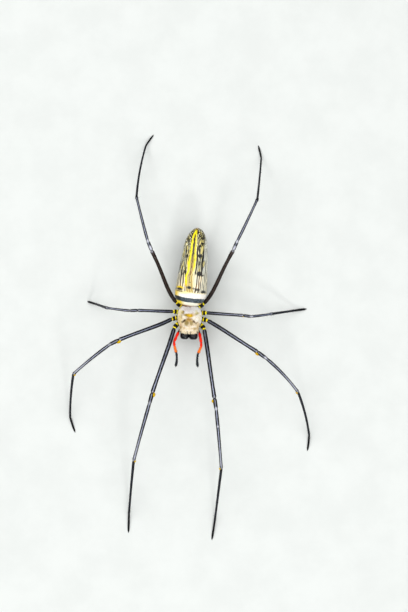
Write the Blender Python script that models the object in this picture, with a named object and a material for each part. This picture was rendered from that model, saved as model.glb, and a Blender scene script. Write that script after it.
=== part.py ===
"""A grown female golden silk orb weaver, life size, in the pose she holds on her web.

Lengths are in millimetres and angles in degrees: MM turns a length into metres.
She looks along -Y, her back is up (+Z) and her left side is at +X. The origin is on
the floor, under the middle of the box that holds her.
"""

import math

import bmesh
import bpy
from mathutils import Matrix, Vector

MM = 0.001
GAP = 0.3
HALF_GAP = GAP / 2
SIDES = {"left": 1, "right": -1}

# Head and thorax: x is out from their middle, y runs back from the jaws, z is the height.
# The place where x is 0 and y is TURN_Y stands at BODY_CENTRE.
BODY_CENTRE = (0.0, 7.5)
TURN_Y = 7.2
BODY_YAW = -2.3
CARAPACE_FRONT = 1.1
CARAPACE_LENGTH = 12.3
CARAPACE_RIM_Z = 10.0
CARAPACE_UNDER = 0.35
HEAD_HALF_WIDTH = 4.15
HEAD_RISE = 3.4
HEAD_REACH = 0.75
THORAX_HALF_WIDTH = 5.15
THORAX_RISE = 2.7
THORAX_MIDDLE = 0.60
THORAX_REACH = 0.41
REAR_SLOPE = 0.75

# Low swellings of the carapace: place along it, out from its middle, height, spread
HUMPS = (
    (0.36, 1.0, 0.30, 0.75),
    (0.055, 0.0, 0.25, 0.9),
    (0.075, 3.05, 0.30, 0.6),
    (0.62, 2.6, 0.14, 1.1),
)
FOVEA = (0.64, 0.0, -0.45, 0.8)

# Eyes: name, place along the carapace, angle up from its edge, radius
EYES = (
    ("front_middle", 0.030, 80.0, 0.26),
    ("rear_middle", 0.082, 82.0, 0.26),
    ("front_side", 0.030, 40.0, 0.22),
    ("rear_side", 0.095, 38.0, 0.22),
)
EYE_SOCKET_GAP = 0.1
EYE_STANDS_OUT = 0.08

STERNUM_FRONT = 5.2
STERNUM_LENGTH = 7.9
STERNUM_HALF_WIDTH = 3.1
STERNUM_Z = 8.0
STERNUM_HALF_HEIGHT = 1.35

CHELICERA_OUT = 1.88
CHELICERA_Y = 0.72
CHELICERA_TOP = 10.3
CHELICERA_BOTTOM = 4.2
CHELICERA_HALF_WIDTH = 1.70
CHELICERA_HALF_DEPTH = 1.80

MOUTH_FRONT = 2.95
MOUTH_LENGTH = 2.0
MOUTH_HALF_WIDTH = 2.5
MOUTH_Z = 7.5
MOUTH_HALF_HEIGHT = 1.7

# Abdomen: a long cylinder, widest behind its shoulders, that narrows to a round tail
ABDOMEN_FRONT = (0.05, 13.1, 12.1)
ABDOMEN_LENGTH = 33.3
ABDOMEN_OVERHANG = 1.6
ABDOMEN_HALF_WIDTH = 6.65
ABDOMEN_FLATNESS = 0.9
ABDOMEN_YAW = -5.7
ABDOMEN_PITCH = -1.5
ABDOMEN_ROLL = 12.0
ABDOMEN_TAPER = 0.50
ABDOMEN_TAPER_POWER = 1.25
ABDOMEN_WIDEST = 0.2
SHOULDER_LENGTH = 0.2
SHOULDER_BLUNTNESS = 2.6
TAIL_LENGTH = 0.26
TAIL_BLUNTNESS = 2.2
TAIL_DROOP = 0.9

# Swellings under the abdomen, the lung covers and the plate between them: place along
# it, out from its middle, depth, spread
BELLY_HUMPS = (
    (0.13, 2.6, 0.40, 1.9),
    (0.18, 0.0, 0.50, 1.5),
)

# Spinnerets: a low mound under the tail that carries three pairs of cones, each with its
# place out from the middle and along the abdomen, its length, radius and lean to the rear
SPINNERET_PLACE = 0.86
SPINNERET_MOUND = (1.7, 1.8, 1.0)
SPINNERET_MOUND_SUNK = 0.4
SPINNERET_ROOT_DOWN = 0.75
SPINNERET_TAPER = 0.45
SPINNERETS = (
    (0.72, -0.55, 1.9, 0.52, 25.0),
    (0.66, 0.75, 1.7, 0.46, 50.0),
    (0.26, 0.15, 1.2, 0.28, 35.0),
)

# Waist between thorax and abdomen: y and z in the body's frame, and radius there
PEDICEL_STATIONS = (
    (12.2, 9.9, 0.94),
    (13.0, 9.9, 0.77),
    (14.4, 10.1, 0.85),
    (15.6, 10.4, 0.85),
)

# Coxa and trochanter of each pair: inner end, the ring between them, and outer end
COXAE = {
    1: ((2.75, 6.1), (5.25, 5.1), (6.3, 3.6)),
    2: ((3.10, 8.0), (5.95, 7.7), (7.4, 7.3)),
    3: ((2.95, 10.0), (5.50, 10.4), (6.9, 10.45)),
    4: ((2.05, 11.8), (3.95, 13.0), (5.7, 14.3)),
}
COXA_HEIGHTS = (8.2, 8.4, 8.8)

# Share of the way along the coxa and along the trochanter, and the radius there
COXA_PROFILE = ((0.0, 0.67), (0.12, 0.93), (0.45, 1.08), (0.85, 1.06), (0.99, 0.91))
TROCHANTER_PROFILE = ((0.22, 0.92), (0.72, 0.92), (1.0, 0.55))

# Joint to joint lengths and thickest radius of each pair's segments
SEGMENTS = ("femur", "patella", "tibia", "metatarsus", "tarsus")
LENGTHS = {
    1: (30.4, 4.4, 25.1, 29.3, 8.1),
    2: (25.8, 4.2, 19.6, 25.8, 6.8),
    3: (16.2, 3.3, 10.0, 12.0, 5.4),
    4: (26.3, 4.2, 19.9, 26.5, 5.8),
}
RADII = {
    1: (0.90, 0.84, 0.76, 0.48, 0.35),
    2: (0.86, 0.80, 0.70, 0.45, 0.34),
    3: (0.70, 0.64, 0.56, 0.38, 0.30),
    4: (0.82, 0.74, 0.62, 0.42, 0.32),
}
FOOT_TIP_Z = -0.08

# Each leg's stance: the headings of its segments, from straight back (+Y) outwards, and
# the heights of its knee, the patella's end, the tibia's end and the metatarsus' end
STANCE = {
    ("left", 1): ((171.5, 171.0, 175.0, 186.5, 188.5), (17.5, 18.2, 18.5, 1.4)),
    ("left", 2): ((122.0, 126.0, 136.5, 164.0, 186.0), (15.5, 16.4, 18.0, 1.4)),
    ("left", 3): ((94.0, 97.5, 83.0, 82.0, 82.5), (13.2, 12.6, 8.0, 1.4)),
    ("left", 4): ((29.0, 23.5, 25.5, 6.5, -12.5), (15.0, 16.4, 20.8, 1.6)),
    ("right", 1): ((161.5, 165.5, 164.5, 174.0, 178.0), (19.5, 20.0, 18.4, 1.4)),
    ("right", 2): ((111.5, 117.0, 129.0, 173.0, 197.5), (19.0, 19.5, 18.8, 1.4)),
    ("right", 3): ((88.0, 92.5, 83.0, 72.5, 73.0), (15.3, 15.7, 14.6, 3.9)),
    ("right", 4): ((25.5, 22.5, 14.5, -9.0, -34.5), (19.7, 20.0, 15.2, 1.4)),
}

# How far each segment bows outwards from a straight line
BOWS = {
    ("left", 1): (0.1, 0.0, 0.1, 0.0, 0.0),
    ("left", 2): (0.2, 0.0, 0.6, 0.6, 0.1),
    ("left", 3): (0.0, 0.0, 0.1, 0.0, 0.0),
    ("left", 4): (0.8, 0.0, 0.1, 0.1, 0.1),
    ("right", 1): (-0.2, 0.0, 0.1, 0.1, 0.0),
    ("right", 2): (-0.3, 0.0, 0.3, 0.4, 0.1),
    ("right", 3): (0.0, 0.0, 0.1, 0.0, 0.0),
    ("right", 4): (0.8, 0.0, 0.1, 0.6, 0.1),
}

# Thickness along a segment, as a share of its radius
PROFILES = {
    "femur": ((0.0, 0.60), (0.03, 0.86), (0.10, 0.98), (0.25, 1.0), (0.45, 0.96),
              (0.65, 0.90), (0.82, 0.88), (0.93, 0.96), (0.98, 0.84), (1.0, 0.60)),
    "patella": ((0.0, 0.58), (0.06, 0.84), (0.30, 1.0), (0.70, 0.96), (0.95, 0.82)),
    "tibia": ((0.03, 0.84), (0.12, 1.0), (0.35, 0.96), (0.60, 0.86), (0.80, 0.80),
              (0.93, 0.84), (0.98, 0.74), (1.0, 0.52)),
    "metatarsus": ((0.0, 0.62), (0.02, 0.92), (0.08, 1.0), (0.30, 0.92), (0.60, 0.84),
                   (0.88, 0.80), (0.97, 0.84)),
    "tarsus": ((0.04, 0.98), (0.20, 1.0), (0.60, 0.90), (0.88, 0.78), (0.97, 0.62),
               (1.0, 0.30)),
}

# Palps: root beside the mouth, lengths and radii of the segments, and how thick each
# one is along it, as a share of its radius
PALP_ROOT = (2.95, 3.75, 7.6)
PALP_BASE = (4.35, 2.1, 8.3)
PALP_ROOT_PROFILE = ((0.0, 0.36), (0.2, 0.48), (0.7, 0.48))
PALP_LENGTHS = (4.9, 1.7, 3.1, 6.1)
PALP_RADII = (0.57, 0.55, 0.52, 0.45)
PALP_PROFILES = {
    "femur": ((0.08, 0.90), (0.5, 1.0), (0.92, 0.94)),
    "patella": ((0.08, 0.92), (0.5, 1.0), (0.92, 0.92)),
    "tibia": ((0.08, 0.94), (0.5, 1.0), (0.94, 0.94), (1.0, 0.6)),
    "tarsus": ((0.0, 0.6), (0.05, 0.92), (0.3, 0.95), (0.65, 1.0), (0.88, 0.86),
               (0.97, 0.6), (1.0, 0.3)),
}
PALP_TIP_BOW = -0.35

# Each palp's stance, as a leg's: headings and end heights of its segments
PALP_STANCE = {
    "left": ((169.5, 183.0, 205.0, 181.0), (10.3, 10.4, 9.6, 7.4)),
    "right": ((155.0, 186.0, 195.0, 177.0), (9.6, 9.8, 9.2, 7.2)),
}

# Each fang folds in under its jaw: places from its root to its point, and radii there
FANG_STATIONS = (
    ((2.40, 0.10, 4.15), 0.46),
    ((2.05, 0.35, 3.85), 0.44),
    ((1.55, 0.75, 3.65), 0.36),
    ((1.10, 1.20, 3.70), 0.27),
    ((0.75, 1.60, 3.95), 0.16),
    ((0.62, 1.85, 4.25), 0.07),
)

# Colour, roughness and metallic of each finish
FINISHES = {
    "golden_fuzz": ((0.72, 0.58, 0.36), 0.65, 0.0),
    "black_horn": ((0.012, 0.012, 0.016), 0.22, 0.0),
    "leg_black": ((0.025, 0.026, 0.036), 0.32, 0.0),
    "palp_red": ((0.62, 0.03, 0.015), 0.38, 0.0),
    "striped_hide": ((0.36, 0.34, 0.16), 0.50, 0.0),
    "eye_glass": ((0.01, 0.01, 0.012), 0.08, 0.0),
    "belly_horn": ((0.09, 0.05, 0.03), 0.45, 0.0),
}


def clear_scene():
    for leftover in list(bpy.data.objects):
        bpy.data.objects.remove(leftover, do_unlink=True)


def make_collection(name):
    collection = bpy.data.collections.new(name)
    bpy.context.scene.collection.children.link(collection)
    return collection


def make_materials():
    materials = {}
    for name, (colour, roughness, metallic) in FINISHES.items():
        material = bpy.data.materials.new(name)
        material.use_nodes = True
        shader = material.node_tree.nodes["Principled BSDF"]
        shader.inputs["Base Color"].default_value = (*colour, 1.0)
        shader.inputs["Roughness"].default_value = roughness
        shader.inputs["Metallic"].default_value = metallic
        materials[name] = material
    return materials


def body_matrix():
    """Turns a place out from the body's middle into a place in the model, both in metres."""
    middle = Matrix.Translation(Vector((*BODY_CENTRE, 0)) * MM)
    turn = Matrix.Rotation(math.radians(BODY_YAW), 4, "Z")
    return middle @ turn @ Matrix.Translation(Vector((0, -TURN_Y, 0)) * MM)


def body_point(out, y, z):
    return body_matrix() @ (Vector((out, y, z)) * MM)


def evaluated_mesh(part):
    bpy.context.view_layer.update()
    graph = bpy.context.evaluated_depsgraph_get()
    return bpy.data.meshes.new_from_object(part.evaluated_get(graph))


def largest_surface_only(mesh):
    """Drops loose scraps and sealed hollows, which cuts can leave."""
    shape = bmesh.new()
    shape.from_mesh(mesh)
    bmesh.ops.remove_doubles(shape, verts=shape.verts, dist=1e-6)
    waiting = set(shape.verts)
    surfaces = []
    while waiting:
        surface = {waiting.pop()}
        edge_of_search = list(surface)
        while edge_of_search:
            vertex = edge_of_search.pop()
            for edge in vertex.link_edges:
                other = edge.other_vert(vertex)
                if other not in surface:
                    surface.add(other)
                    edge_of_search.append(other)
        waiting -= surface
        surfaces.append(surface)
    surfaces.sort(key=len, reverse=True)
    for scrap in surfaces[1:]:
        bmesh.ops.delete(shape, geom=list(scrap), context="VERTS")
    shape.to_mesh(mesh)
    shape.free()


def add_part(name, mesh, material, collection):
    mesh.name = name
    mesh.materials.clear()
    mesh.materials.append(material)
    mesh.shade_smooth()
    part = bpy.data.objects.new(name, mesh)
    collection.objects.link(part)
    return part


def moulded(shape_of, around, along):
    """A closed skin moulded from a sphere: shape_of takes the place along it, from 0 to
    1, and the angle round it, and gives the point there in millimetres."""
    shape = bmesh.new()
    bmesh.ops.create_uvsphere(shape, u_segments=around, v_segments=along, radius=1)
    for vertex in shape.verts:
        x, y, z = vertex.co
        vertex.co = Vector(shape_of((1 - z) / 2, math.atan2(y, x))) * MM
    if shape.calc_volume(signed=True) < 0:
        bmesh.ops.reverse_faces(shape, faces=shape.faces)
    mesh = bpy.data.meshes.new("moulded")
    shape.to_mesh(mesh)
    shape.free()
    return mesh


def tube(name, stations, material, collection, resolution=3):
    """A tube through stations of (point in metres, radius), that starts half a gap late."""
    points = [Vector(point) for point, _ in stations]
    points[0] += (points[1] - points[0]).normalized() * HALF_GAP * MM
    curve = bpy.data.curves.new(name, "CURVE")
    curve.dimensions = "3D"
    # A bevel of one millimetre lets each point's own radius be read in millimetres
    curve.bevel_depth = MM
    curve.bevel_resolution = resolution
    curve.use_fill_caps = True
    spline = curve.splines.new("POLY")
    spline.points.add(len(points) - 1)
    for place, point, (_, radius) in zip(spline.points, points, stations):
        place.co = (*point, 1)
        place.radius = radius
    curve.materials.append(material)
    part = bpy.data.objects.new(name, curve)
    collection.objects.link(part)
    return part


def tube_as_mesh(part):
    """The same tube as a mesh object, with its caps welded on."""
    name, collection = part.name, part.users_collection[0]
    material = part.data.materials[0]
    mesh = evaluated_mesh(part)
    bpy.data.objects.remove(part, do_unlink=True)
    shape = bmesh.new()
    shape.from_mesh(mesh)
    bmesh.ops.remove_doubles(shape, verts=shape.verts, dist=1e-6)
    shape.to_mesh(mesh)
    shape.free()
    return add_part(name, mesh, material, collection)


def swollen_copy(part, by, collection):
    """A cutter: the part with its skin pushed out by this many millimetres."""
    mesh = evaluated_mesh(part)
    shape = bmesh.new()
    shape.from_mesh(mesh)
    bmesh.ops.remove_doubles(shape, verts=shape.verts, dist=1e-6)
    shape.normal_update()
    moves = [vertex.normal * by * MM for vertex in shape.verts]
    for vertex, move in zip(shape.verts, moves):
        vertex.co += move
    shape.to_mesh(mesh)
    shape.free()
    cutter = bpy.data.objects.new("cutter_" + part.name, mesh)
    cutter.matrix_world = part.matrix_world
    cutter.hide_render = True
    cutter.display_type = "WIRE"
    collection.objects.link(cutter)
    return cutter


def combine(part, others, operation):
    """Joins the others to the part, or cuts them from it, and removes them."""
    for other in others:
        step = part.modifiers.new("step", "BOOLEAN")
        step.operation = operation
        step.object = other
        mesh = evaluated_mesh(part)
        part.modifiers.clear()
        part.data = mesh
        bpy.data.objects.remove(other, do_unlink=True)
    largest_surface_only(part.data)
    part.data.shade_smooth()


def cut_clear(part, neighbours, cutters, gap=GAP):
    copies = [swollen_copy(neighbour, gap, cutters) for neighbour in neighbours]
    combine(part, copies, "DIFFERENCE")


def smoothstep(low, high, value):
    share = min(max((value - low) / (high - low), 0.0), 1.0)
    return share * share * (3 - 2 * share)


def blunt(share, power):
    """Rises from 0 at an end to 1, as the end of a rounded block does."""
    share = min(max(share, 0.0), 1.0)
    return (1 - (1 - share) ** power) ** (1 / power)


def signed_power(value, power):
    return math.copysign(abs(value) ** power, value)


def carapace_half_width(t):
    """The wider of the head, which fades out over the thorax, and the round thorax."""
    head = HEAD_HALF_WIDTH * max(1 - (t / HEAD_REACH) ** 3, 0)
    from_middle = min(abs(t - THORAX_MIDDLE) / THORAX_REACH, 1)
    thorax = THORAX_HALF_WIDTH * (1 - from_middle**2.5) ** 0.4
    widest = (head**8 + thorax**8) ** (1 / 8)
    return widest * blunt(t / 0.14, 3) * blunt((1 - t) / 0.06, 2.5)


def carapace_rise(t):
    groove = smoothstep(0.30, 0.52, t)
    level = HEAD_RISE + (THORAX_RISE - HEAD_RISE) * groove
    slope = 1 - REAR_SLOPE * smoothstep(THORAX_MIDDLE, 1.0, t)
    return level * blunt(t / 0.16, 2.3) * slope * blunt((1 - t) / 0.08, 2.2)


def swelling(humps, x, t, length):
    """How high round humps stand at x across and place t along a shape this long."""
    total = 0
    for place, out, height, spread in humps:
        along = (t - place) * length
        total += height * math.exp(-(along**2 + (abs(x) - out) ** 2) / spread**2)
    return total


def carapace_shape(t, angle):
    """The point at place t along the carapace, front to rear, and this angle round it."""
    x = carapace_half_width(t) * signed_power(math.cos(angle), 0.9)
    up = math.sin(angle)
    if up < 0:
        z = CARAPACE_RIM_Z - CARAPACE_UNDER * min(-up * 3, 1) * blunt(t / 0.05, 2)
    else:
        humps = swelling((*HUMPS, FOVEA), x, t, CARAPACE_LENGTH)
        z = CARAPACE_RIM_Z + carapace_rise(t) * up**0.85 + humps * min(2 * up, 1)
    return x, CARAPACE_FRONT + t * CARAPACE_LENGTH, z


def carapace_normal(t, angle):
    step = 0.004
    here = Vector(carapace_shape(t, angle))
    onward = Vector(carapace_shape(t + step, angle)) - here
    round_it = Vector(carapace_shape(t, angle + step)) - here
    normal = onward.cross(round_it).normalized()
    return normal if normal.z > 0 else -normal


def make_carapace(material, collection):
    mesh = moulded(carapace_shape, around=30, along=26)
    mesh.transform(body_matrix())
    return add_part("carapace", mesh, material, collection)


def make_eyes(carapace, material, collection, cutters):
    """Eight eyes in two rows, each in its own socket."""
    sockets = []
    for name, place, angle, radius in EYES:
        for side, sign in SIDES.items():
            turn = math.radians(angle if sign > 0 else 180 - angle)
            seat = Vector(carapace_shape(place, turn))
            centre = seat + carapace_normal(place, turn) * EYE_STANDS_OUT
            for size, owner in ((radius, collection), (radius + EYE_SOCKET_GAP, cutters)):
                shape = bmesh.new()
                bmesh.ops.create_icosphere(shape, subdivisions=2, radius=size * MM)
                mesh = bpy.data.meshes.new("eye")
                shape.to_mesh(mesh)
                shape.free()
                eye = add_part(f"eye_{name}_{side}", mesh, material, owner)
                eye.location = body_point(*centre)
                if owner is cutters:
                    eye.name = f"cutter_socket_{name}_{side}"
                    sockets.append(eye)
    combine(carapace, sockets, "DIFFERENCE")


def sternum_shape(t, angle):
    """A shield between the coxae, broad in front and pointed behind."""
    shield = 1 - 0.62 * smoothstep(0.25, 1.0, t)
    half = STERNUM_HALF_WIDTH * shield * blunt(t / 0.3, 2.6) * blunt((1 - t) / 0.3, 2)
    deep = STERNUM_HALF_HEIGHT * blunt(t / 0.2, 3) * blunt((1 - t) / 0.25, 3)
    x = half * signed_power(math.cos(angle), 0.7)
    z = STERNUM_Z + deep * signed_power(math.sin(angle), 0.7)
    return x, STERNUM_FRONT + t * STERNUM_LENGTH, z


def make_sternum(coxae, material, collection, cutters):
    mesh = moulded(sternum_shape, around=20, along=14)
    mesh.transform(body_matrix())
    sternum = add_part("sternum", mesh, material, collection)
    cut_clear(sternum, coxae, cutters)
    return sternum


def mouth_shape(t, angle):
    """The two maxillae with the lip between them, as one block with a groove below."""
    flare = 1 - 0.22 * t
    half = MOUTH_HALF_WIDTH * flare * blunt(t / 0.35, 2.5) * blunt((1 - t) / 0.3, 2.5)
    deep = MOUTH_HALF_HEIGHT * blunt(t / 0.3, 2.5) * blunt((1 - t) / 0.3, 2.5)
    x = half * signed_power(math.cos(angle), 0.75)
    if math.sin(angle) < 0:
        deep *= 1 - 0.2 * math.exp(-((abs(x) - 0.75) ** 2) / 0.08)
    z = MOUTH_Z + deep * signed_power(math.sin(angle), 0.75)
    return x, MOUTH_FRONT + t * MOUTH_LENGTH, z


def make_mouthparts(material, collection):
    mesh = moulded(mouth_shape, around=24, along=12)
    mesh.transform(body_matrix())
    add_part("mouthparts", mesh, material, collection)


def chelicera_shape(t, angle):
    """One stout jaw, from its top at t = 0 down to the fang, bulging at the front."""
    ends = blunt(t / 0.30, 2.4) * blunt((1 - t) / 0.30, 2.2)
    narrowing = 1 - 0.26 * smoothstep(0.45, 1.0, t)
    x = CHELICERA_HALF_WIDTH * narrowing * ends * math.cos(angle)
    depth = CHELICERA_HALF_DEPTH * (1 - 0.30 * smoothstep(0.35, 1.0, t)) * ends
    y = CHELICERA_Y + depth * math.sin(angle) - 0.15 * smoothstep(0.5, 1.0, t)
    z = CHELICERA_TOP + (CHELICERA_BOTTOM - CHELICERA_TOP) * t
    return x, y, z


def make_jaws(carapace, materials, collection, cutters):
    for side, sign in SIDES.items():
        mesh = moulded(chelicera_shape, around=20, along=16)
        mesh.transform(Matrix.Translation(Vector((sign * CHELICERA_OUT, 0, 0)) * MM))
        mesh.transform(body_matrix())
        jaw = add_part(f"chelicera_{side}", mesh, materials["black_horn"], collection)
        stations = [
            (body_point(sign * out, y, z), radius)
            for (out, y, z), radius in FANG_STATIONS
        ]
        fang = tube(
            f"fang_{side}", stations, materials["black_horn"], collection, resolution=2
        )
        cut_clear(jaw, [carapace, fang], cutters)


def run(start, heading, length, end_z, side, bow, skew=1.0):
    """A function giving the point at each share of one segment, and its end point.

    The segment goes from start for its length, with its plan at the heading and its end
    at the given height. The bow pushes it sideways, most at its middle, or nearer its
    start where skew is over 1.
    """
    rise = end_z - start.z / MM
    plan = math.sqrt(length**2 - rise**2)
    sign = SIDES[side]
    turn = math.radians(heading)
    ahead = Vector((sign * math.sin(turn), math.cos(turn), 0))
    outward = Vector((-ahead.y, ahead.x, 0))
    if outward.x * sign < 0:
        outward.negate()
    end = start + (ahead * plan + Vector((0, 0, rise))) * MM
    peak = (1 / (1 + skew)) * (skew / (1 + skew)) ** skew

    def at(share):
        sideways = bow * share * (1 - share) ** skew / peak
        return start.lerp(end, share) + outward * sideways * MM

    return at, end


def stations_of(at, profile, radius):
    return [(at(share), radius * thickness) for share, thickness in profile]


def stopped_short(stations):
    """The same stations with the last one half a gap early, to clear the next piece."""
    last, radius = stations[-1]
    way_back = (stations[-2][0] - last).normalized()
    return [*stations[:-1], (last + way_back * HALF_GAP * MM, radius)]


def make_leg(side, pair, materials, collection):
    """Coxa with trochanter, femur, tibia with patella, and foot. Gives back the coxa."""
    sign = SIDES[side]
    inner, ring, outer = [
        body_point(sign * out, y, z)
        for (out, y), z in zip(COXAE[pair], COXA_HEIGHTS)
    ]
    stations = [(inner.lerp(ring, share), radius) for share, radius in COXA_PROFILE]
    stations += [(ring.lerp(outer, share), radius) for share, radius in TROCHANTER_PROFILE]
    black = materials["leg_black"]
    coxa = tube(f"leg_{side}_{pair}_coxa", stopped_short(stations), black, collection)

    headings, heights = STANCE[side, pair]
    joints = {}
    start = outer
    for number, segment in enumerate(SEGMENTS):
        end_z = (*heights, FOOT_TIP_Z)[number]
        at, end = run(
            start, headings[number], LENGTHS[pair][number], end_z, side,
            BOWS[side, pair][number], skew=3.0 if segment == "femur" else 1.0,
        )
        joints[segment] = stations_of(at, PROFILES[segment], RADII[pair][number])
        start = end

    femur = stopped_short(joints["femur"])
    tube(f"leg_{side}_{pair}_femur", femur, black, collection)
    knee_and_tibia = stopped_short(joints["patella"] + joints["tibia"])
    tube(f"leg_{side}_{pair}_tibia", knee_and_tibia, black, collection)
    foot = joints["metatarsus"] + joints["tarsus"]
    foot_part = tube(f"leg_{side}_{pair}_foot", foot, black, collection, resolution=2)
    stand_flat(tube_as_mesh(foot_part))
    return coxa


def stand_flat(foot):
    """Cuts the foot off level with the floor, which gives it a small flat sole."""
    shape = bmesh.new()
    shape.from_mesh(foot.data)
    bmesh.ops.bisect_plane(
        shape, geom=[*shape.verts, *shape.edges, *shape.faces],
        plane_co=(0, 0, 0), plane_no=(0, 0, -1), clear_outer=True,
    )
    open_edges = [edge for edge in shape.edges if edge.is_boundary]
    bmesh.ops.contextual_create(shape, geom=open_edges)
    for vertex in {vertex for edge in open_edges for vertex in edge.verts}:
        vertex.co.z = 0
    bmesh.ops.recalc_face_normals(shape, faces=shape.faces)
    shape.to_mesh(foot.data)
    shape.free()


def make_palp(side, materials, collection):
    sign = SIDES[side]
    root = body_point(sign * PALP_ROOT[0], *PALP_ROOT[1:])
    start = body_point(sign * PALP_BASE[0], *PALP_BASE[1:])
    arm = [(root.lerp(start, share), radius) for share, radius in PALP_ROOT_PROFILE]
    headings, heights = PALP_STANCE[side]
    for number, (segment, profile) in enumerate(PALP_PROFILES.items()):
        bow = PALP_TIP_BOW if segment == "tarsus" else 0.0
        at, start = run(
            start, headings[number], PALP_LENGTHS[number], heights[number], side, bow
        )
        stations = stations_of(at, profile, PALP_RADII[number])
        if segment != "tarsus":
            arm += stations
    tube(f"palp_{side}_arm", stopped_short(arm), materials["palp_red"], collection)
    tube(f"palp_{side}_tarsus", stations, materials["leg_black"], collection)


def abdomen_half_width(t):
    past = max(t - ABDOMEN_WIDEST, 0)
    taper = 1 - ABDOMEN_TAPER * past**ABDOMEN_TAPER_POWER
    shoulder = blunt(t / SHOULDER_LENGTH, SHOULDER_BLUNTNESS)
    tail = blunt((1 - t) / TAIL_LENGTH, TAIL_BLUNTNESS)
    return ABDOMEN_HALF_WIDTH * taper * shoulder * tail


def abdomen_shape(t, angle):
    """The point at place t along the abdomen, front to tail, and this angle round it."""
    half = abdomen_half_width(t)
    overhang = ABDOMEN_OVERHANG * (1 - smoothstep(0.0, 0.25, t))
    droop = TAIL_DROOP * smoothstep(0.75, 1.0, t)
    up = math.sin(angle)
    x = half * signed_power(math.cos(angle), 0.95)
    z = half * ABDOMEN_FLATNESS * signed_power(up, 0.95) + overhang - droop
    if up < 0:
        z -= swelling(BELLY_HUMPS, x, t, ABDOMEN_LENGTH) * min(-2 * up, 1)
    return x, t * ABDOMEN_LENGTH, z


def abdomen_matrix():
    """Turns a place in the abdomen's own frame, in metres, into a place in the model."""
    yaw = Matrix.Rotation(math.radians(ABDOMEN_YAW), 4, "Z")
    pitch = Matrix.Rotation(math.radians(ABDOMEN_PITCH), 4, "X")
    roll = Matrix.Rotation(math.radians(-ABDOMEN_ROLL), 4, "Y")
    return Matrix.Translation(Vector(ABDOMEN_FRONT) * MM) @ yaw @ pitch @ roll


def make_abdomen(material, collection):
    abdomen = add_part(
        "abdomen", moulded(abdomen_shape, around=36, along=36), material, collection
    )
    abdomen.matrix_world = abdomen_matrix()
    return abdomen


def spinneret_mound_shape(t, angle):
    """A low oval mound with its middle at the origin."""
    half_x, half_y, half_z = SPINNERET_MOUND
    along = 2 * t - 1
    ring = math.sqrt(max(1 - along**2, 0))
    return half_x * ring * math.cos(angle), half_y * along, half_z * ring * math.sin(angle)


def make_spinnerets(abdomen, material, collection, cutters):
    """The mound under the tail, with its cones joined to it."""
    seat = Vector(abdomen_shape(SPINNERET_PLACE, math.radians(-90)))
    mound = add_part(
        "spinnerets", moulded(spinneret_mound_shape, around=16, along=10),
        material, collection,
    )
    sunk = Vector((0, 0, SPINNERET_MOUND_SUNK))
    mound.matrix_world = abdomen_matrix() @ Matrix.Translation((seat + sunk) * MM)
    cones = []
    for out, along, length, radius, lean in SPINNERETS:
        for sign in SIDES.values():
            shape = bmesh.new()
            bmesh.ops.create_cone(
                shape, cap_ends=True, segments=8, radius1=radius * MM,
                radius2=radius * SPINNERET_TAPER * MM, depth=length * MM,
            )
            mesh = bpy.data.meshes.new("cone")
            shape.to_mesh(mesh)
            shape.free()
            cone = add_part("cone", mesh, material, cutters)
            down = Matrix.Rotation(math.radians(180 - lean), 4, "X")
            place = seat + Vector((sign * out, along, -SPINNERET_ROOT_DOWN))
            cone.matrix_world = abdomen_matrix() @ Matrix.Translation(place * MM) @ down
            cones.append(cone)
    combine(mound, cones, "UNION")
    cut_clear(mound, [abdomen], cutters)


def make_pedicel(neighbours, material, collection, cutters):
    """The narrow waist between thorax and abdomen, shaped by what it joins."""
    stations = [(body_point(0, y, z), radius) for y, z, radius in PEDICEL_STATIONS]
    pedicel = tube_as_mesh(tube("pedicel", stations, material, collection))
    cut_clear(pedicel, neighbours, cutters)


def main():
    clear_scene()
    parts = make_collection("golden_silk_orb_weaver")
    cutters = make_collection("cutters")
    materials = make_materials()

    carapace = make_carapace(materials["golden_fuzz"], parts)
    abdomen = make_abdomen(materials["striped_hide"], parts)
    coxae = [
        make_leg(side, pair, materials, parts) for side in SIDES for pair in LENGTHS
    ]
    make_jaws(carapace, materials, parts, cutters)
    make_mouthparts(materials["belly_horn"], parts)
    sternum = make_sternum(coxae, materials["belly_horn"], parts, cutters)
    for side in SIDES:
        make_palp(side, materials, parts)
    waist_meets = [carapace, sternum, abdomen]
    make_pedicel(waist_meets, materials["belly_horn"], parts, cutters)
    make_spinnerets(abdomen, materials["belly_horn"], parts, cutters)
    make_eyes(carapace, materials["eye_glass"], parts, cutters)


main()
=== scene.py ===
"""The looks of a grown female golden silk orb weaver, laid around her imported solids.

Lengths are in millimetres and angles in degrees: MM turns a length into metres. She
looks along -Y, her back is up (+Z) and her left side is at +X, as her solids have it.
"""

import math

import bmesh
import bpy
import numpy as np
from mathutils import Matrix, Vector


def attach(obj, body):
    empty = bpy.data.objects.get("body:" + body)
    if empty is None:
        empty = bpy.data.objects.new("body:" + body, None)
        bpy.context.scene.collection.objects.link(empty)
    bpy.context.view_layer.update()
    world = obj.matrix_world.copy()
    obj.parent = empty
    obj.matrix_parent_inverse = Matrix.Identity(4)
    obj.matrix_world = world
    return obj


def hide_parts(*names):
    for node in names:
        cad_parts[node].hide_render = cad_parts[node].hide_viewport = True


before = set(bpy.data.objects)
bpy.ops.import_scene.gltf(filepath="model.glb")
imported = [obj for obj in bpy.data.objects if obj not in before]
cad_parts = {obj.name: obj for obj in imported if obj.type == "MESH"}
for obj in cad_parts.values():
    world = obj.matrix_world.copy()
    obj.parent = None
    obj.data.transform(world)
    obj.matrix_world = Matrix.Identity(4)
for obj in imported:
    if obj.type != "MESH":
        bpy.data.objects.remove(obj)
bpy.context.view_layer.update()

MM = 0.001
SIDES = {"left": 1, "right": -1}
BODY = "root"

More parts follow.
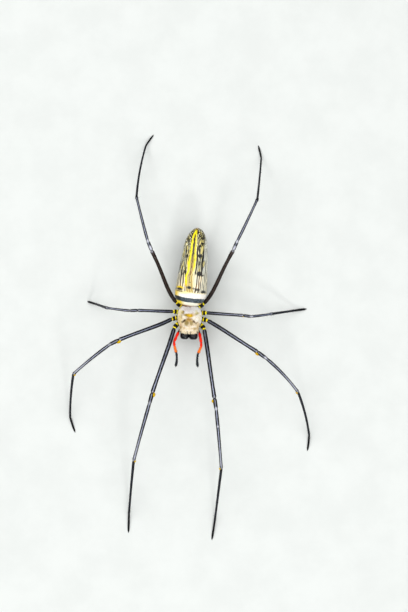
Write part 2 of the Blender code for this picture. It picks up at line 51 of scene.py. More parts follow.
# Picture: the camera looks straight down, with her tail at the top of the picture
VIEW_MIDDLE = (6.09, 13.36)
VIEW_HEIGHT = 1000.0
VIEW_SUBJECT_Z = 12.0
PIXEL_SIZE = 0.42
PICTURE_HEIGHT = 612
SENSOR = 36.0

# Head and thorax, as in the solids: x out from their middle, y back from the jaws
BODY_CENTRE = (0.0, 7.5)
TURN_Y = 7.2
BODY_YAW = -2.3
CARAPACE_FRONT = 1.1
CARAPACE_LENGTH = 12.3
CARAPACE_RIM_Z = 10.0
CARAPACE_UNDER = 0.35
HEAD_HALF_WIDTH = 4.15
HEAD_RISE = 3.4
HEAD_REACH = 0.75
THORAX_HALF_WIDTH = 5.15
THORAX_RISE = 2.7
THORAX_MIDDLE = 0.60
THORAX_REACH = 0.41
REAR_SLOPE = 0.75
CARAPACE_COAT = 0.12

# Low swellings of the carapace: place along it, out from its middle, height, spread
HUMPS = (
    (0.36, 1.0, 0.30, 0.75),
    (0.055, 0.0, 0.25, 0.9),
    (0.075, 3.05, 0.30, 0.6),
    (0.62, 2.6, 0.14, 1.1),
    (0.64, 0.0, -0.45, 0.8),
)

# The groove behind the head runs from the pit of the thorax out to both sides
HEAD_GROOVE = ((0.25, 9.0), (1.1, 7.9), (2.3, 6.4), (3.6, 5.2), (4.6, 4.6))
HEAD_GROOVE_DEPTH = 0.20
HEAD_GROOVE_WIDTH = 0.38

# Furrows of the thorax: heading from its pit, measured from straight back, and depth
PIT = (0.0, 8.97)
THORAX_FURROWS = ((42.0, 0.10), (72.0, 0.12), (104.0, 0.10))
FURROW_SPREAD = 9.0

# Eyes: name, place along the carapace, angle up from its edge, radius
EYES = (
    ("front_middle", 0.030, 80.0, 0.22),
    ("rear_middle", 0.082, 82.0, 0.22),
    ("front_side", 0.030, 40.0, 0.20),
    ("rear_side", 0.095, 38.0, 0.20),
)
EYE_STANDS_OUT = 0.08

STERNUM_FRONT = 5.2
STERNUM_LENGTH = 7.9
STERNUM_HALF_WIDTH = 3.1
STERNUM_Z = 8.0
STERNUM_HALF_HEIGHT = 1.35

CHELICERA_OUT = 1.88
CHELICERA_Y = 0.72
CHELICERA_TOP = 10.3
CHELICERA_BOTTOM = 4.2
CHELICERA_HALF_WIDTH = 1.70
CHELICERA_HALF_DEPTH = 1.80

# Abdomen, in its own frame: x across, y from its front, z up
ABDOMEN_FRONT = (0.05, 13.1, 12.1)
ABDOMEN_LENGTH = 33.3
ABDOMEN_OVERHANG = 1.6
ABDOMEN_HALF_WIDTH = 6.65
ABDOMEN_FLATNESS = 0.9
ABDOMEN_YAW = -5.7
ABDOMEN_PITCH = -1.5
ABDOMEN_ROLL = 12.0
ABDOMEN_TAPER = 0.50
ABDOMEN_TAPER_POWER = 1.25
ABDOMEN_WIDEST = 0.2
SHOULDER_LENGTH = 0.2
SHOULDER_BLUNTNESS = 2.6
TAIL_LENGTH = 0.26
TAIL_BLUNTNESS = 2.2
TAIL_DROOP = 0.9
ABDOMEN_COAT = 0.05
BELLY_HUMPS = (
    (0.13, 2.6, 0.40, 1.9),
    (0.18, 0.0, 0.50, 1.5),
)

SPINNERET_PLACE = 0.86
SPINNERET_MOUND = (1.7, 1.8, 1.0)
SPINNERET_MOUND_SUNK = 0.4
SPINNERET_ROOT_DOWN = 0.75
SPINNERET_TAPER = 0.45

# Spinnerets: out from the middle, along, length, radius, lean backwards, and the lobe
SPINNERETS = (
    (0.72, -0.55, 1.9, 0.52, 25.0),
    (0.66, 0.75, 1.7, 0.46, 50.0),
    (0.26, 0.15, 1.2, 0.28, 35.0),
)
SPINNERET_LOBE = (0.0, 1.45, 1.0, 0.36, 65.0)

PEDICEL_STATIONS = (
    (11.6, 9.7, 1.0),
    (12.4, 9.9, 0.90),
    (13.0, 9.9, 0.74),
    (13.6, 10.0, 0.84),
    (14.4, 10.1, 0.82),
    (15.8, 10.5, 0.85),
)

# Coxa and trochanter of each pair: inner end, the ring between them, and outer end
COXAE = {
    1: ((2.75, 6.1), (5.25, 5.1), (6.3, 3.6)),
    2: ((3.10, 8.0), (5.95, 7.7), (7.4, 7.3)),
    3: ((2.95, 10.0), (5.50, 10.4), (6.9, 10.45)),
    4: ((2.05, 11.8), (3.95, 13.0), (5.7, 14.3)),
}
COXA_HEIGHTS = (8.2, 8.4, 8.8)
COXA_PROFILE = (
    (0.0, 0.67), (0.12, 0.93), (0.45, 1.08), (0.80, 1.05), (0.93, 0.98), (1.0, 0.78),
)
TROCHANTER_PROFILE = ((0.0, 0.78), (0.15, 0.92), (0.50, 0.97), (0.80, 0.88), (1.0, 0.60))

# Joint to joint lengths and thickest radius of each pair's segments
SEGMENTS = ("femur", "patella", "tibia", "metatarsus", "tarsus")
LENGTHS = {
    1: (30.4, 4.4, 25.1, 29.3, 8.1),
    2: (25.8, 4.2, 19.6, 25.8, 6.8),
    3: (16.2, 3.3, 10.0, 12.0, 5.4),
    4: (26.3, 4.2, 19.9, 26.5, 5.8),
}
RADII = {
    1: (0.90, 0.84, 0.76, 0.48, 0.35),
    2: (0.86, 0.80, 0.70, 0.45, 0.34),
    3: (0.70, 0.64, 0.56, 0.38, 0.30),
    4: (0.82, 0.74, 0.62, 0.42, 0.32),
}
FOOT_TIP_Z = -0.08

# Each leg's stance: the headings of its segments, from straight back (+Y) outwards, and
# the heights of its knee, the patella's end, the tibia's end and the metatarsus' end
STANCE = {
    ("left", 1): ((171.5, 171.0, 175.0, 186.5, 188.5), (17.5, 18.2, 18.5, 1.4)),
    ("left", 2): ((122.0, 126.0, 136.5, 164.0, 186.0), (15.5, 16.4, 18.0, 1.4)),
    ("left", 3): ((94.0, 97.5, 83.0, 82.0, 82.5), (13.2, 12.6, 8.0, 1.4)),
    ("left", 4): ((29.0, 23.5, 25.5, 6.5, -12.5), (15.0, 16.4, 20.8, 1.6)),
    ("right", 1): ((161.5, 165.5, 164.5, 174.0, 178.0), (19.5, 20.0, 18.4, 1.4)),
    ("right", 2): ((111.5, 117.0, 129.0, 173.0, 197.5), (19.0, 19.5, 18.8, 1.4)),
    ("right", 3): ((88.0, 92.5, 83.0, 72.5, 73.0), (15.3, 15.7, 14.6, 3.9)),
    ("right", 4): ((25.5, 22.5, 14.5, -9.0, -34.5), (19.7, 20.0, 15.2, 1.4)),
}

# How far each segment bows outwards from a straight line
BOWS = {
    ("left", 1): (0.1, 0.0, 0.1, 0.0, 0.0),
    ("left", 2): (0.2, 0.0, 0.6, 0.6, 0.1),
    ("left", 3): (0.0, 0.0, 0.1, 0.0, 0.0),
    ("left", 4): (0.8, 0.0, 0.1, 0.1, 0.1),
    ("right", 1): (-0.2, 0.0, 0.1, 0.1, 0.0),
    ("right", 2): (-0.3, 0.0, 0.3, 0.4, 0.1),
    ("right", 3): (0.0, 0.0, 0.1, 0.0, 0.0),
    ("right", 4): (0.8, 0.0, 0.1, 0.6, 0.1),
}

# Thickness along a segment, as a share of its radius
PROFILES = {
    "femur": ((0.0, 0.60), (0.02, 0.84), (0.10, 0.97), (0.25, 1.0), (0.45, 0.96),
              (0.65, 0.90), (0.82, 0.88), (0.94, 0.95), (0.985, 0.90), (1.0, 0.60)),
    "patella": ((0.0, 0.60), (0.08, 0.86), (0.30, 0.99), (0.70, 0.96), (0.93, 0.90),
                (1.0, 0.72)),
    "tibia": ((0.0, 0.80), (0.03, 0.88), (0.12, 0.98), (0.35, 0.94), (0.60, 0.86),
              (0.80, 0.80), (0.93, 0.84), (0.98, 0.80), (1.0, 0.54)),
    "metatarsus": ((0.0, 0.78), (0.02, 0.94), (0.08, 0.99), (0.30, 0.92), (0.60, 0.84),
                   (0.88, 0.79), (0.97, 0.82), (1.0, 0.70)),
    "tarsus": ((0.0, 0.84), (0.04, 0.96), (0.20, 0.99), (0.60, 0.90), (0.88, 0.76),
               (0.97, 0.58), (1.0, 0.30)),
}

# Palps: root beside the mouth, then femur, patella, tibia and tarsus
PALP_ROOT = (2.95, 3.75, 7.6)
PALP_BASE = (4.35, 2.1, 8.3)
PALP_ROOT_PROFILE = ((0.0, 0.36), (0.2, 0.48), (0.7, 0.50), (1.0, 0.40))
PALP_LENGTHS = (4.9, 1.7, 3.1, 6.1)
PALP_RADII = (0.57, 0.55, 0.52, 0.45)
PALP_PROFILES = {
    "femur": ((0.0, 0.60), (0.08, 0.88), (0.5, 1.0), (0.92, 0.94), (1.0, 0.70)),
    "patella": ((0.0, 0.72), (0.12, 0.92), (0.5, 1.0), (0.90, 0.92), (1.0, 0.74)),
    "tibia": ((0.0, 0.74), (0.08, 0.92), (0.5, 1.0), (0.94, 0.94), (1.0, 0.66)),
    "tarsus": ((0.0, 0.70), (0.05, 0.86), (0.3, 0.86), (0.65, 1.04), (0.88, 1.12),
               (0.97, 0.80), (1.0, 0.36)),
}
PALP_TIP_BOW = -0.35
PALP_STANCE = {
    "left": ((169.5, 183.0, 205.0, 181.0), (10.3, 10.4, 9.6, 7.4)),
    "right": ((155.0, 186.0, 195.0, 177.0), (9.6, 9.8, 9.2, 7.2)),
}

# Each fang folds in under its jaw: places from its root to its point, and radii there
FANG_STATIONS = (
    ((2.10, 0.20, 4.95), 0.40),
    ((2.34, 0.14, 4.40), 0.46),
    ((2.22, 0.22, 3.96), 0.46),
    ((1.95, 0.42, 3.78), 0.43),
    ((1.55, 0.75, 3.65), 0.36),
    ((1.10, 1.20, 3.70), 0.27),
    ((0.75, 1.60, 3.95), 0.16),
    ((0.62, 1.85, 4.25), 0.07),
)


def paint(code):
    """A screen colour, written as six hexadecimal digits, in the renderer's linear light."""
    shares = [int(code[place:place + 2], 16) / 255 for place in (0, 2, 4)]
    linear = [
        share / 12.92 if share <= 0.04045 else ((share + 0.055) / 1.055) ** 2.4
        for share in shares
    ]
    return (*linear, 1.0)


class Board:
    """A node tree that is being laid out: each call adds a node and gives its output."""

    def __init__(self, tree):
        self.tree = tree

    def node(self, kind, inputs=None, **settings):
        """A new node with these settings, its inputs linked or given plain values."""
        node = self.tree.nodes.new(kind)
        for name, value in settings.items():
            setattr(node, name, value)
        for key, value in (inputs or {}).items():
            self.feed(node.inputs[key], value)
        return node

    def feed(self, socket, value):
        """Links an output to the socket, or gives the socket a plain value."""
        if isinstance(value, bpy.types.NodeSocket):
            self.tree.links.new(value, socket)
        else:
            socket.default_value = value

    def first(self, kind, inputs=None, **settings):
        """The first output of a new node."""
        return self.node(kind, inputs, **settings).outputs[0]

    def math(self, operation, first, second=0.0):
        return self.first("ShaderNodeMath", {0: first, 1: second}, operation=operation)

    def times(self, first, second):
        return self.math("MULTIPLY", first, second)

    def plus(self, first, second):
        return self.math("ADD", first, second)

    def minus(self, first, second):
        return self.math("SUBTRACT", first, second)

    def vector(self, operation, first, second=(0.0, 0.0, 0.0)):
        node = self.node("ShaderNodeVectorMath", {0: first, 1: second}, operation=operation)
        return node.outputs["Value" if operation in ("LENGTH", "DOT_PRODUCT") else "Vector"]

    def split(self, vector):
        return self.node("ShaderNodeSeparateXYZ", {0: vector}).outputs

    def join(self, x=0.0, y=0.0, z=0.0):
        return self.first("ShaderNodeCombineXYZ", {0: x, 1: y, 2: z})

    def fade(self, value, start, end, low=0.0, high=1.0):
        """Goes smoothly from low, where the value is start, to high, where it is end."""
        inputs = {
            "Value": value, "From Min": start, "From Max": end, "To Min": low, "To Max": high,
        }
        return self.first("ShaderNodeMapRange", inputs, interpolation_type="SMOOTHSTEP")

    def noise(self, vector, scale, detail=2.0, roughness=0.5):
        inputs = {"Vector": vector, "Scale": scale, "Detail": detail, "Roughness": roughness}
        return self.first("ShaderNodeTexNoise", inputs)

    def blend(self, share, first, second):
        """The first colour where the share is 0 and the second where it is 1."""
        inputs = {0: share, 6: first, 7: second}
        return self.node("ShaderNodeMix", inputs, data_type="RGBA").outputs[2]

    def lay(self, colour, code, mask, strength=None):
        """The colour with another over it where the mask is 1."""
        share = mask if strength is None else self.times(mask, strength)
        return self.blend(share, colour, paint(code))

    def attribute(self, name, output="Vector"):
        return self.node("ShaderNodeAttribute", attribute_name=name).outputs[output]

    def keep(self, shape, name, value, **settings):
        """The shape, on which the value is kept under this name."""
        inputs = {"Geometry": shape, "Name": name, "Value": value}
        return self.first("GeometryNodeStoreNamedAttribute", inputs, **settings)

    def end(self, made, **values):
        """Links what the tree makes to its end, and gives the tree."""
        for label, value in values.items():
            self.feed(made[label], value)
        return self.tree


# Kinds of sockets, and what each group of markings makes
COLOUR = "NodeSocketColor"
NUMBER = "NodeSocketFloat"
VECTOR = "NodeSocketVector"
WHOLE = "NodeSocketInt"
SHAPE = "NodeSocketGeometry"
THING = "NodeSocketObject"
MATERIAL = "NodeSocketMaterial"
SURFACE = {"Color": COLOUR, "Height": NUMBER, "Roughness": NUMBER}


def new_tree(name, inputs, outputs, kind="ShaderNodeTree"):
    """A board for an empty group with these sockets, its inputs and its end."""
    tree = bpy.data.node_groups.new(name, kind)
    for direction, sockets in (("INPUT", inputs), ("OUTPUT", outputs)):
        for label, socket in sockets.items():
            tree.interface.new_socket(name=label, in_out=direction, socket_type=socket)
    given = tree.nodes.new("NodeGroupInput").outputs
    made = tree.nodes.new("NodeGroupOutput").inputs
    return Board(tree), given, made


def spot_mask(board, place, x, y, half_x, half_y, turn=0.0, soft=0.35):
    """1 inside an oval mark at x, y and 0 outside it, fading over a share of its size."""
    moved = board.vector("SUBTRACT", place, (x, y, 0.0))
    if turn:
        inputs = {"Vector": moved, "Angle": math.radians(turn)}
        moved = board.first("ShaderNodeVectorRotate", inputs, rotation_type="Z_AXIS")
    sized = board.vector("MULTIPLY", moved, (1 / half_x, 1 / half_y, 0.0))
    return board.fade(board.vector("LENGTH", sized), 1 + soft, 1 - soft)


def wandering(board, place, scale, reach):
    """The same place moved a little by noise, so that no mark has a ruled edge."""
    inputs = {"Vector": place, "Scale": scale, "Detail": 2.0}
    drift = board.node("ShaderNodeTexNoise", inputs).outputs["Color"]
    centred = board.vector("SUBTRACT", drift, (0.5, 0.5, 0.5))
    return board.vector("ADD", place, board.vector("MULTIPLY", centred, (reach, reach, 0.0)))


# The middle line of the abdomen's marks lies this far to the left of its own
MARKS_ASIDE = 0.54

# The middles of the two yellow stripes: place along the abdomen, way out from that line
STRIPE_LEFT = (
    (7.6, -1.60), (8.3, -1.64), (10.65, -1.94), (12.65, -2.09), (13.4, -1.85),
    (14.7, -1.48), (18.0, -1.52), (20.8, -1.30), (24.5, -1.22), (28.1, -1.24),
    (30.2, -1.09), (32.0, -0.66), (33.0, -0.40),
)
STRIPE_RIGHT = (
    (7.6, 1.65), (8.6, 1.50), (12.8, 1.01), (16.4, 0.77), (18.2, 0.91), (21.0, 0.75),
    (23.7, 0.67), (26.4, 0.49), (29.6, 0.02), (32.0, -0.47), (33.0, -0.60),
)

# Dark pits of the back: x and y from that line, half sizes, turn, strength
ABDOMEN_PITS = (
    (2.61, 21.35, 0.90, 0.80, 0.0, 1.0),
    (-2.96, 20.83, 0.80, 0.62, 0.0, 0.90),
    (3.16, 13.9, 1.10, 0.98, -20.0, 1.0),
    (4.30, 13.3, 0.60, 0.42, -20.0, 0.85),
    (-2.84, 14.24, 0.62, 0.75, 0.0, 0.90),
    (-3.99, 13.24, 0.60, 0.55, 0.0, 0.65),
    (-2.99, 27.5, 0.60, 0.80, 0.0, 0.85),
    (1.55, 23.6, 0.24, 2.1, 3.0, 0.95),
    (2.75, 18.3, 0.50, 0.95, 0.0, 0.80),
    (-0.2, 9.9, 0.42, 0.34, 0.0, 0.55),
    (-0.3, 7.75, 0.90, 0.62, 0.0, 1.0),
    (1.6, 7.5, 0.62, 0.42, 0.0, 0.70),
    (3.2, 7.2, 0.85, 0.55, 0.0, 0.90),
    (5.2, 6.4, 0.72, 0.80, 0.0, 0.95),
)
PIT_COLOUR = "14181b"
PIT_DEPTH = 0.16

# The front row ends at her right in a black spot before a yellow one, with a brown line
# below them: x, y, half sizes, turn
CORNER_SPOT = (-4.45, 6.95, 1.25, 0.50, 8.0)
CORNER_GLOW = (-4.45, 7.55, 1.75, 0.62, 8.0)
CORNER_LINE = (-4.55, 6.0, 1.75, 0.20, 6.0)

# Bands across the front: how they and the end of the pattern bend with the square of x,
# how they slope, and where each one ends
BAND_CURVE = 0.016
PATTERN_CURVE = 0.011
BAND_SLOPE = 0.045
BAND_ENDS = {"pattern": 5.85, "cream": 3.36, "slate": 1.55, "gold": 0.30, "edge": -0.05}

# Yellow loops with a dark border: x, y, half sizes, turn, strength
ABDOMEN_LOOPS = (
    (3.05, 23.9, 0.66, 2.2, 4.0, 0.85),
    (2.05, 27.0, 0.48, 1.4, 6.0, 0.9),
    (-3.10, 24.3, 0.45, 1.3, -6.0, 0.8),
    (4.30, 18.2, 0.45, 1.6, 3.0, 0.6),
    (-4.10, 17.6, 0.42, 1.4, -4.0, 0.7),
)


def abdomen_ground(board, given, place, arc, y):
    """Cream hide under fine dark lines that run along the body and curl up at the tail."""
    x = board.split(place)[0]
    chart = given["Chart"]
    rear = board.fade(y, 22.0, 28.0)
    front = board.fade(y, 16.5, 11.0)
    flank = board.fade(arc, 4.7, 6.1)
    warp = board.minus(board.noise(chart, 0.50, 1.5, 0.5), 0.5)
    phase = board.plus(
        board.times(arc, 5.8), board.times(warp, board.fade(rear, 0.0, 1.0, 16.0, 30.0))
    )
    wave = board.math("SINE", phase)
    dashes = board.minus(board.noise(chart, 1.7, 1.5, 0.6), 0.5)
    wave = board.plus(wave, board.times(dashes, board.fade(rear, 0.0, 1.0, 2.2, 4.2)))
    straw = board.fade(board.noise(chart, 0.9, 1.0, 0.5), 0.50, 0.62)
    pale = board.blend(straw, paint("fbf5cc"), paint("ecd440"))
    olive = spot_mask(board, place, 3.3, 28.6, 1.9, 3.4, soft=0.5)
    pale = board.blend(board.times(olive, 0.75), pale, paint("a89a45"))
    # The flanks are greyer than the back. On the right-hand flank, where x is positive, the
    # lines are thinner and paler: painted light, which makes up for the shade that flank lies
    # in
    right = board.fade(x, 0.0, 2.0)
    pale = board.blend(flank, pale, board.blend(right, paint("d6d9cc"), paint("f6f8ee")))
    front_pale = board.blend(board.fade(x, 2.0, -2.5), paint("faf3d8"), paint("f7ecca"))
    pale = board.blend(front, pale, front_pale)
    tawny = board.fade(board.noise(chart, 1.3, 1.0, 0.5), 0.50, 0.62)
    front_line = board.blend(tawny, paint("33271a"), paint("a9752f"))
    line = board.blend(front, paint("12110b"), front_line)
    line = board.blend(flank, line, board.blend(right, paint("2f3236"), paint("5c5f5e")))
    width = board.fade(front, 0.0, 1.0, 0.36, 0.10)
    width = board.plus(width, board.times(flank, board.fade(right, 0.0, 1.0, -0.10, -0.52)))
    width = board.plus(width, board.fade(y, 27.0, 31.0, 0.0, 0.22))
    width = board.plus(width, board.times(front, board.fade(x, 1.0, 2.5, 0.0, 0.12)))
    lines = board.fade(board.minus(wave, width), 0.12, -0.12)
    colour = board.blend(lines, pale, line)
    margin = board.times(board.fade(arc, 5.6, 6.6), board.fade(x, 0.0, 1.0))
    colour = board.lay(colour, "e2dcbc", margin, 0.25)
    return colour, lines


def abdomen_stripes(board, colour, y, stripe_left, stripe_right, wobble):
    """The two yellow stripes, and what lies between them: a dark line at the rear that
    turns into fine orange streaks in front."""
    inside = board.times(
        board.fade(stripe_left, 0.05, 0.30), board.fade(stripe_right, -0.05, -0.30)
    )
    rear = board.fade(y, 15.5, 19.5)
    ground = board.blend(rear, paint("e2d68c"), paint("b5a84c"))
    colour = board.blend(board.times(inside, 0.95), colour, ground)
    streaks = board.math("SINE", board.plus(board.times(stripe_left, 8.6), wobble))
    strength = board.fade(rear, 1.0, 0.0, 0.35, 0.95)
    thin = board.times(board.fade(streaks, -0.10, 0.30), strength)
    colour = board.lay(colour, "b07c22", thin, inside)
    between = board.times(board.plus(stripe_left, stripe_right), 0.5)
    middle = board.math("ABSOLUTE", board.plus(between, wobble))
    slot = board.times(board.fade(middle, 0.40, 0.20), board.fade(y, 19.0, 21.5))
    colour = board.lay(colour, "20271f", slot, inside)
    seam = board.times(board.fade(middle, 0.24, 0.10), board.fade(y, 8.6, 12.5))
    seam = board.times(seam, board.fade(y, 21.5, 19.0))
    colour = board.lay(colour, "5b2f14", seam, inside)

    # Cream beside the right stripe, which widens towards the front
    reach = board.fade(y, 18.0, 10.0, 0.0, 0.55)
    band = board.times(board.fade(stripe_right, -0.45, -0.25), board.fade(y, 7.9, 8.7))
    band = board.times(
        band, board.fade(board.minus(stripe_right, reach), 0.36, 0.10)
    )
    band = board.times(band, board.fade(y, 19.0, 15.0))
    colour = board.lay(colour, "f3ebc2", band, 0.80)

    length_mask = board.times(board.fade(y, 7.9, 8.7), board.fade(y, 32.5, 31.8))
    right_off = board.math("ABSOLUTE", board.plus(stripe_right, wobble))
    right = board.times(board.fade(right_off, 0.38, 0.25), board.fade(y, 13.0, 17.0))
    right_edge = board.times(board.fade(right_off, 0.50, 0.38), board.fade(y, 13.0, 17.0))
    colour = board.lay(colour, "c08a20", right_edge, 0.35)
    core = board.times(board.fade(y, 31.0, 29.5), board.fade(y, 19.5, 21.5))
    core = board.times(core, board.fade(stripe_right, -0.05, 0.28))
    right_colour = board.blend(core, paint("f4e90c"), paint("fdf6a8"))
    colour = board.blend(board.times(right, length_mask), colour, right_colour)
    left_off = board.math("ABSOLUTE", board.plus(stripe_left, wobble))
    left = board.times(board.fade(left_off, 0.45, 0.29), length_mask)
    left_edge = board.times(board.fade(left_off, 0.56, 0.44), length_mask)
    golden = board.fade(y, 10.0, 8.0)
    left_colour = board.blend(golden, paint("faf000"), paint("f0c62e"))
    colour = board.lay(colour, "d08a14", left_edge, 0.45)
    return board.blend(left, colour, left_colour)


def abdomen_bands(board, colour, x, y, wobble):
    """Bands across the front: cream, slate, gold to cream, then brown-orange and a thin
    dark brown edge, which are partly painted shade where the front curves down to the waist.
    """
    sloping = board.plus(y, board.times(x, BAND_SLOPE))
    squared = board.times(x, x)
    bent = board.plus(sloping, board.times(squared, -BAND_CURVE))
    ragged = board.plus(sloping, board.times(squared, -PATTERN_CURVE))
    ragged = board.plus(ragged, board.times(wobble, 1.3))

    def over(place, end, soft, band):
        return board.blend(board.fade(place, end + soft, end - soft), colour, band)

    upper = board.blend(
        board.times(board.fade(bent, 5.0, 6.0), 0.7), paint("fefaf0"), paint("f2d560")
    )
    straw = board.times(board.fade(x, 1.5, -2.0), board.fade(bent, 4.3, 5.2, 0.0, 0.6))
    upper = board.blend(straw, upper, paint("f8ee80"))
    upper = board.blend(board.fade(x, -3.6, -5.8), upper, paint("f8d85a"))
    colour = over(ragged, BAND_ENDS["pattern"], 0.22, upper)
    streaks = board.fade(board.noise(board.join(board.times(x, 3.0), y), 1.2), 0.42, 0.62)
    slate = board.blend(streaks, paint("2c363d"), paint("56646e"))
    slate = board.blend(board.fade(x, -2.6, -4.6), slate, paint("0f1412"))
    colour = over(bent, BAND_ENDS["cream"], 0.10, slate)
    gold = board.blend(board.fade(x, -3.8, -1.2), paint("fadc00"), paint("fffdea"))
    gold = board.blend(board.fade(x, 3.2, 4.5), gold, paint("eec010"))
    colour = over(bent, BAND_ENDS["slate"], 0.10, gold)
    # Brown-orange, then a thin dark brown edge: partly the hide's colour and partly painted
    # shade, where the front curves down over the waist
    colour = over(bent, BAND_ENDS["gold"], 0.14, paint("a8641c"))
    return over(bent, BAND_ENDS["edge"], 0.20, paint("3e2614"))


def abdomen_belly(board, colour, given, arc, y, z, wobble):
    """Below she is nearly black, with yellow flecks and a pale line across."""
    under = board.fade(board.plus(z, board.times(wobble, 3.0)), -1.2, -3.4)
    flecks = board.fade(board.noise(given["Chart"], 1.25, 1.0, 0.4), 0.60, 0.66)
    belly = board.blend(flecks, paint("241a14"), paint("c9a73a"))
    furrow = board.times(board.fade(y, 6.6, 7.0), board.fade(y, 7.8, 7.4))
    belly = board.blend(board.times(furrow, 0.8), belly, paint("d8b45a"))
    plate = board.times(board.fade(y, 6.2, 5.6), board.fade(arc, 9.0, 10.2))
    belly = board.blend(plate, belly, paint("3a2216"))
    return board.blend(under, colour, belly)


def abdomen_markings():
    """The stripes, loops and bands of the back, the flanks and the spotted belly."""
    inputs = {"Place": VECTOR, "Chart": VECTOR, "Stripes": VECTOR}
    board, given, made = new_tree("abdomen_markings", inputs, SURFACE)
    place = wandering(board, given["Place"], 0.9, 0.30)
    place = board.vector("SUBTRACT", place, (MARKS_ASIDE, 0.0, 0.0))
    x, y, z = board.split(place)[:3]
    arc = board.math("ABSOLUTE", board.split(given["Chart"])[0])
    stripe_left, stripe_right = board.split(given["Stripes"])[:2]
    wobble = board.fade(board.noise(given["Place"], 1.1), 0.25, 0.75, -0.14, 0.14)
    colour, lines = abdomen_ground(board, given, place, arc, y)
    for at_x, at_y, half_x, half_y, turn, strength in ABDOMEN_LOOPS:
        border = spot_mask(board, place, at_x, at_y, half_x, half_y, turn, soft=0.15)
        size = (half_x * 0.60, half_y * 0.82)
        core = spot_mask(board, place, at_x, at_y, *size, turn, soft=0.2)
        colour = board.lay(colour, "1b1910", border, strength)
        colour = board.lay(colour, "f1e08c", core, strength)
    colour = abdomen_stripes(board, colour, y, stripe_left, stripe_right, wobble)
    for at_x, at_y, half_x, half_y, turn, strength in ABDOMEN_PITS:
        mask = spot_mask(board, place, at_x, at_y, half_x, half_y, turn)
        colour = board.lay(colour, PIT_COLOUR, mask, strength)
    glow = spot_mask(board, place, *CORNER_GLOW)
    colour = board.lay(colour, "f7d61a", glow)
    colour = abdomen_bands(board, colour, x, y, wobble)
    corner = spot_mask(board, place, *CORNER_SPOT)
    colour = board.lay(colour, "0c0e0c", corner)
    under_it = spot_mask(board, place, *CORNER_LINE)
    colour = board.lay(colour, "5a3a12", under_it)
    colour = abdomen_belly(board, colour, given, arc, y, z, wobble)

    fine = board.noise(given["Place"], 9.0, 3.0, 0.6)
    folds = board.noise(given["Chart"], 1.6, 2.0, 0.5)
    height = board.plus(board.times(fine, 0.30), board.times(folds, 0.9))
    height = board.plus(height, board.times(lines, -0.10))
    rough = board.fade(fine, 0.3, 0.7, 0.36, 0.52)
    return board.end(made, Color=colour, Height=height, Roughness=rough)


# Marks on the carapace: colour, x, y, half sizes, turn, strength
CARAPACE_MARKS = (
    ("f2d64e", -3.6, 8.0, 1.0, 2.2, 8.0, 0.30),
    ("f2e08a", 3.7, 8.6, 0.8, 1.6, -8.0, 0.15),
    ("aa8e08", -0.85, 9.10, 1.45, 0.46, 0.0, 1.0),
    ("dcb600", 0.14, 8.98, 1.15, 0.52, 0.0, 1.0),
    ("dab43c", -0.35, 8.45, 0.75, 0.34, 0.0, 0.75),
    ("e6c25a", 1.7, 9.35, 0.55, 0.30, 32.0, 0.50),
    ("8e7610", -2.75, 10.2, 0.62, 0.62, 20.0, 1.0),
    ("b0a43c", 2.75, 9.9, 0.75, 0.52, -25.0, 0.80),
    ("b88a1e", -0.25, 7.60, 1.10, 0.50, 0.0, 0.95),
    ("c8a04a", 0.0, 6.85, 1.9, 0.40, 0.0, 0.70),
    ("4e360a", -1.95, 7.0, 0.48, 0.68, 38.0, 1.0),
    ("604414", 1.85, 6.75, 0.44, 0.68, -48.0, 0.95),
    ("6b5322", -2.75, 6.35, 0.50, 0.42, 30.0, 0.80),
    ("8a6626", 2.75, 6.1, 0.60, 0.36, -35.0, 0.70),
    ("a58c38", -1.05, 6.1, 0.82, 1.00, 10.0, 0.85),
    ("b49a48", 0.75, 6.15, 0.72, 0.85, -10.0, 0.75),
    ("fbf0d8", 0.0, 5.4, 0.20, 1.1, 0.0, 0.85),
    ("fffaf2", -1.35, 4.55, 1.0, 0.26, 14.0, 0.85),
    ("fffaf2", 1.65, 4.65, 1.0, 0.26, -14.0, 0.85),
    ("fffdf6", 2.9, 7.5, 0.80, 0.80, -20.0, 0.80),
    ("fff6e0", -2.0, 8.25, 0.60, 0.28, 12.0, 0.60),
    ("fffdf6", 1.6, 8.15, 0.85, 0.36, -12.0, 0.85),
    ("f3eab4", 2.5, 10.6, 0.60, 0.70, 0.0, 0.55),
    ("f3e6a6", -3.3, 10.4, 0.55, 0.80, 0.0, 0.60),
    ("fffaf0", -0.9, 2.9, 1.1, 0.45, 0.0, 0.60),
    ("fffaf0", 1.2, 3.0, 0.9, 0.40, 0.0, 0.60),
    ("d8b878", -2.0, 3.9, 0.50, 0.50, 0.0, 0.50),
    ("d8b878", 2.1, 4.0, 0.60, 0.40, 0.0, 0.50),
    ("e7b78a", -3.45, 4.6, 0.45, 1.3, 10.0, 0.60),
    ("c2ac4c", -3.55, 4.15, 0.42, 0.50, 0.0, 0.75),
    ("a48e54", -3.15, 8.5, 0.36, 0.90, 8.0, 0.65),
    ("c0aa6c", 2.45, 3.7, 0.60, 0.32, -12.0, 0.70),
    ("b99a66", -0.6, 4.9, 0.9, 0.24, 0.0, 0.45),
    ("e3c27c", 3.4, 4.7, 0.40, 1.2, -10.0, 0.55),
    ("4e3a20", -3.6, 1.9, 0.42, 0.45, 0.0, 0.85),
    ("4e3a20", 3.6, 1.9, 0.42, 0.45, 0.0, 0.85),
    # The last two marks are painted shade: a brown line along the rear edge, where the abdomen
    # hangs over the carapace
    ("7a4e10", -1.7, 12.80, 1.50, 0.26, 14.0, 0.85),
    ("9a7a34", 2.2, 12.95, 1.80, 0.22, 0.0, 0.75),
)


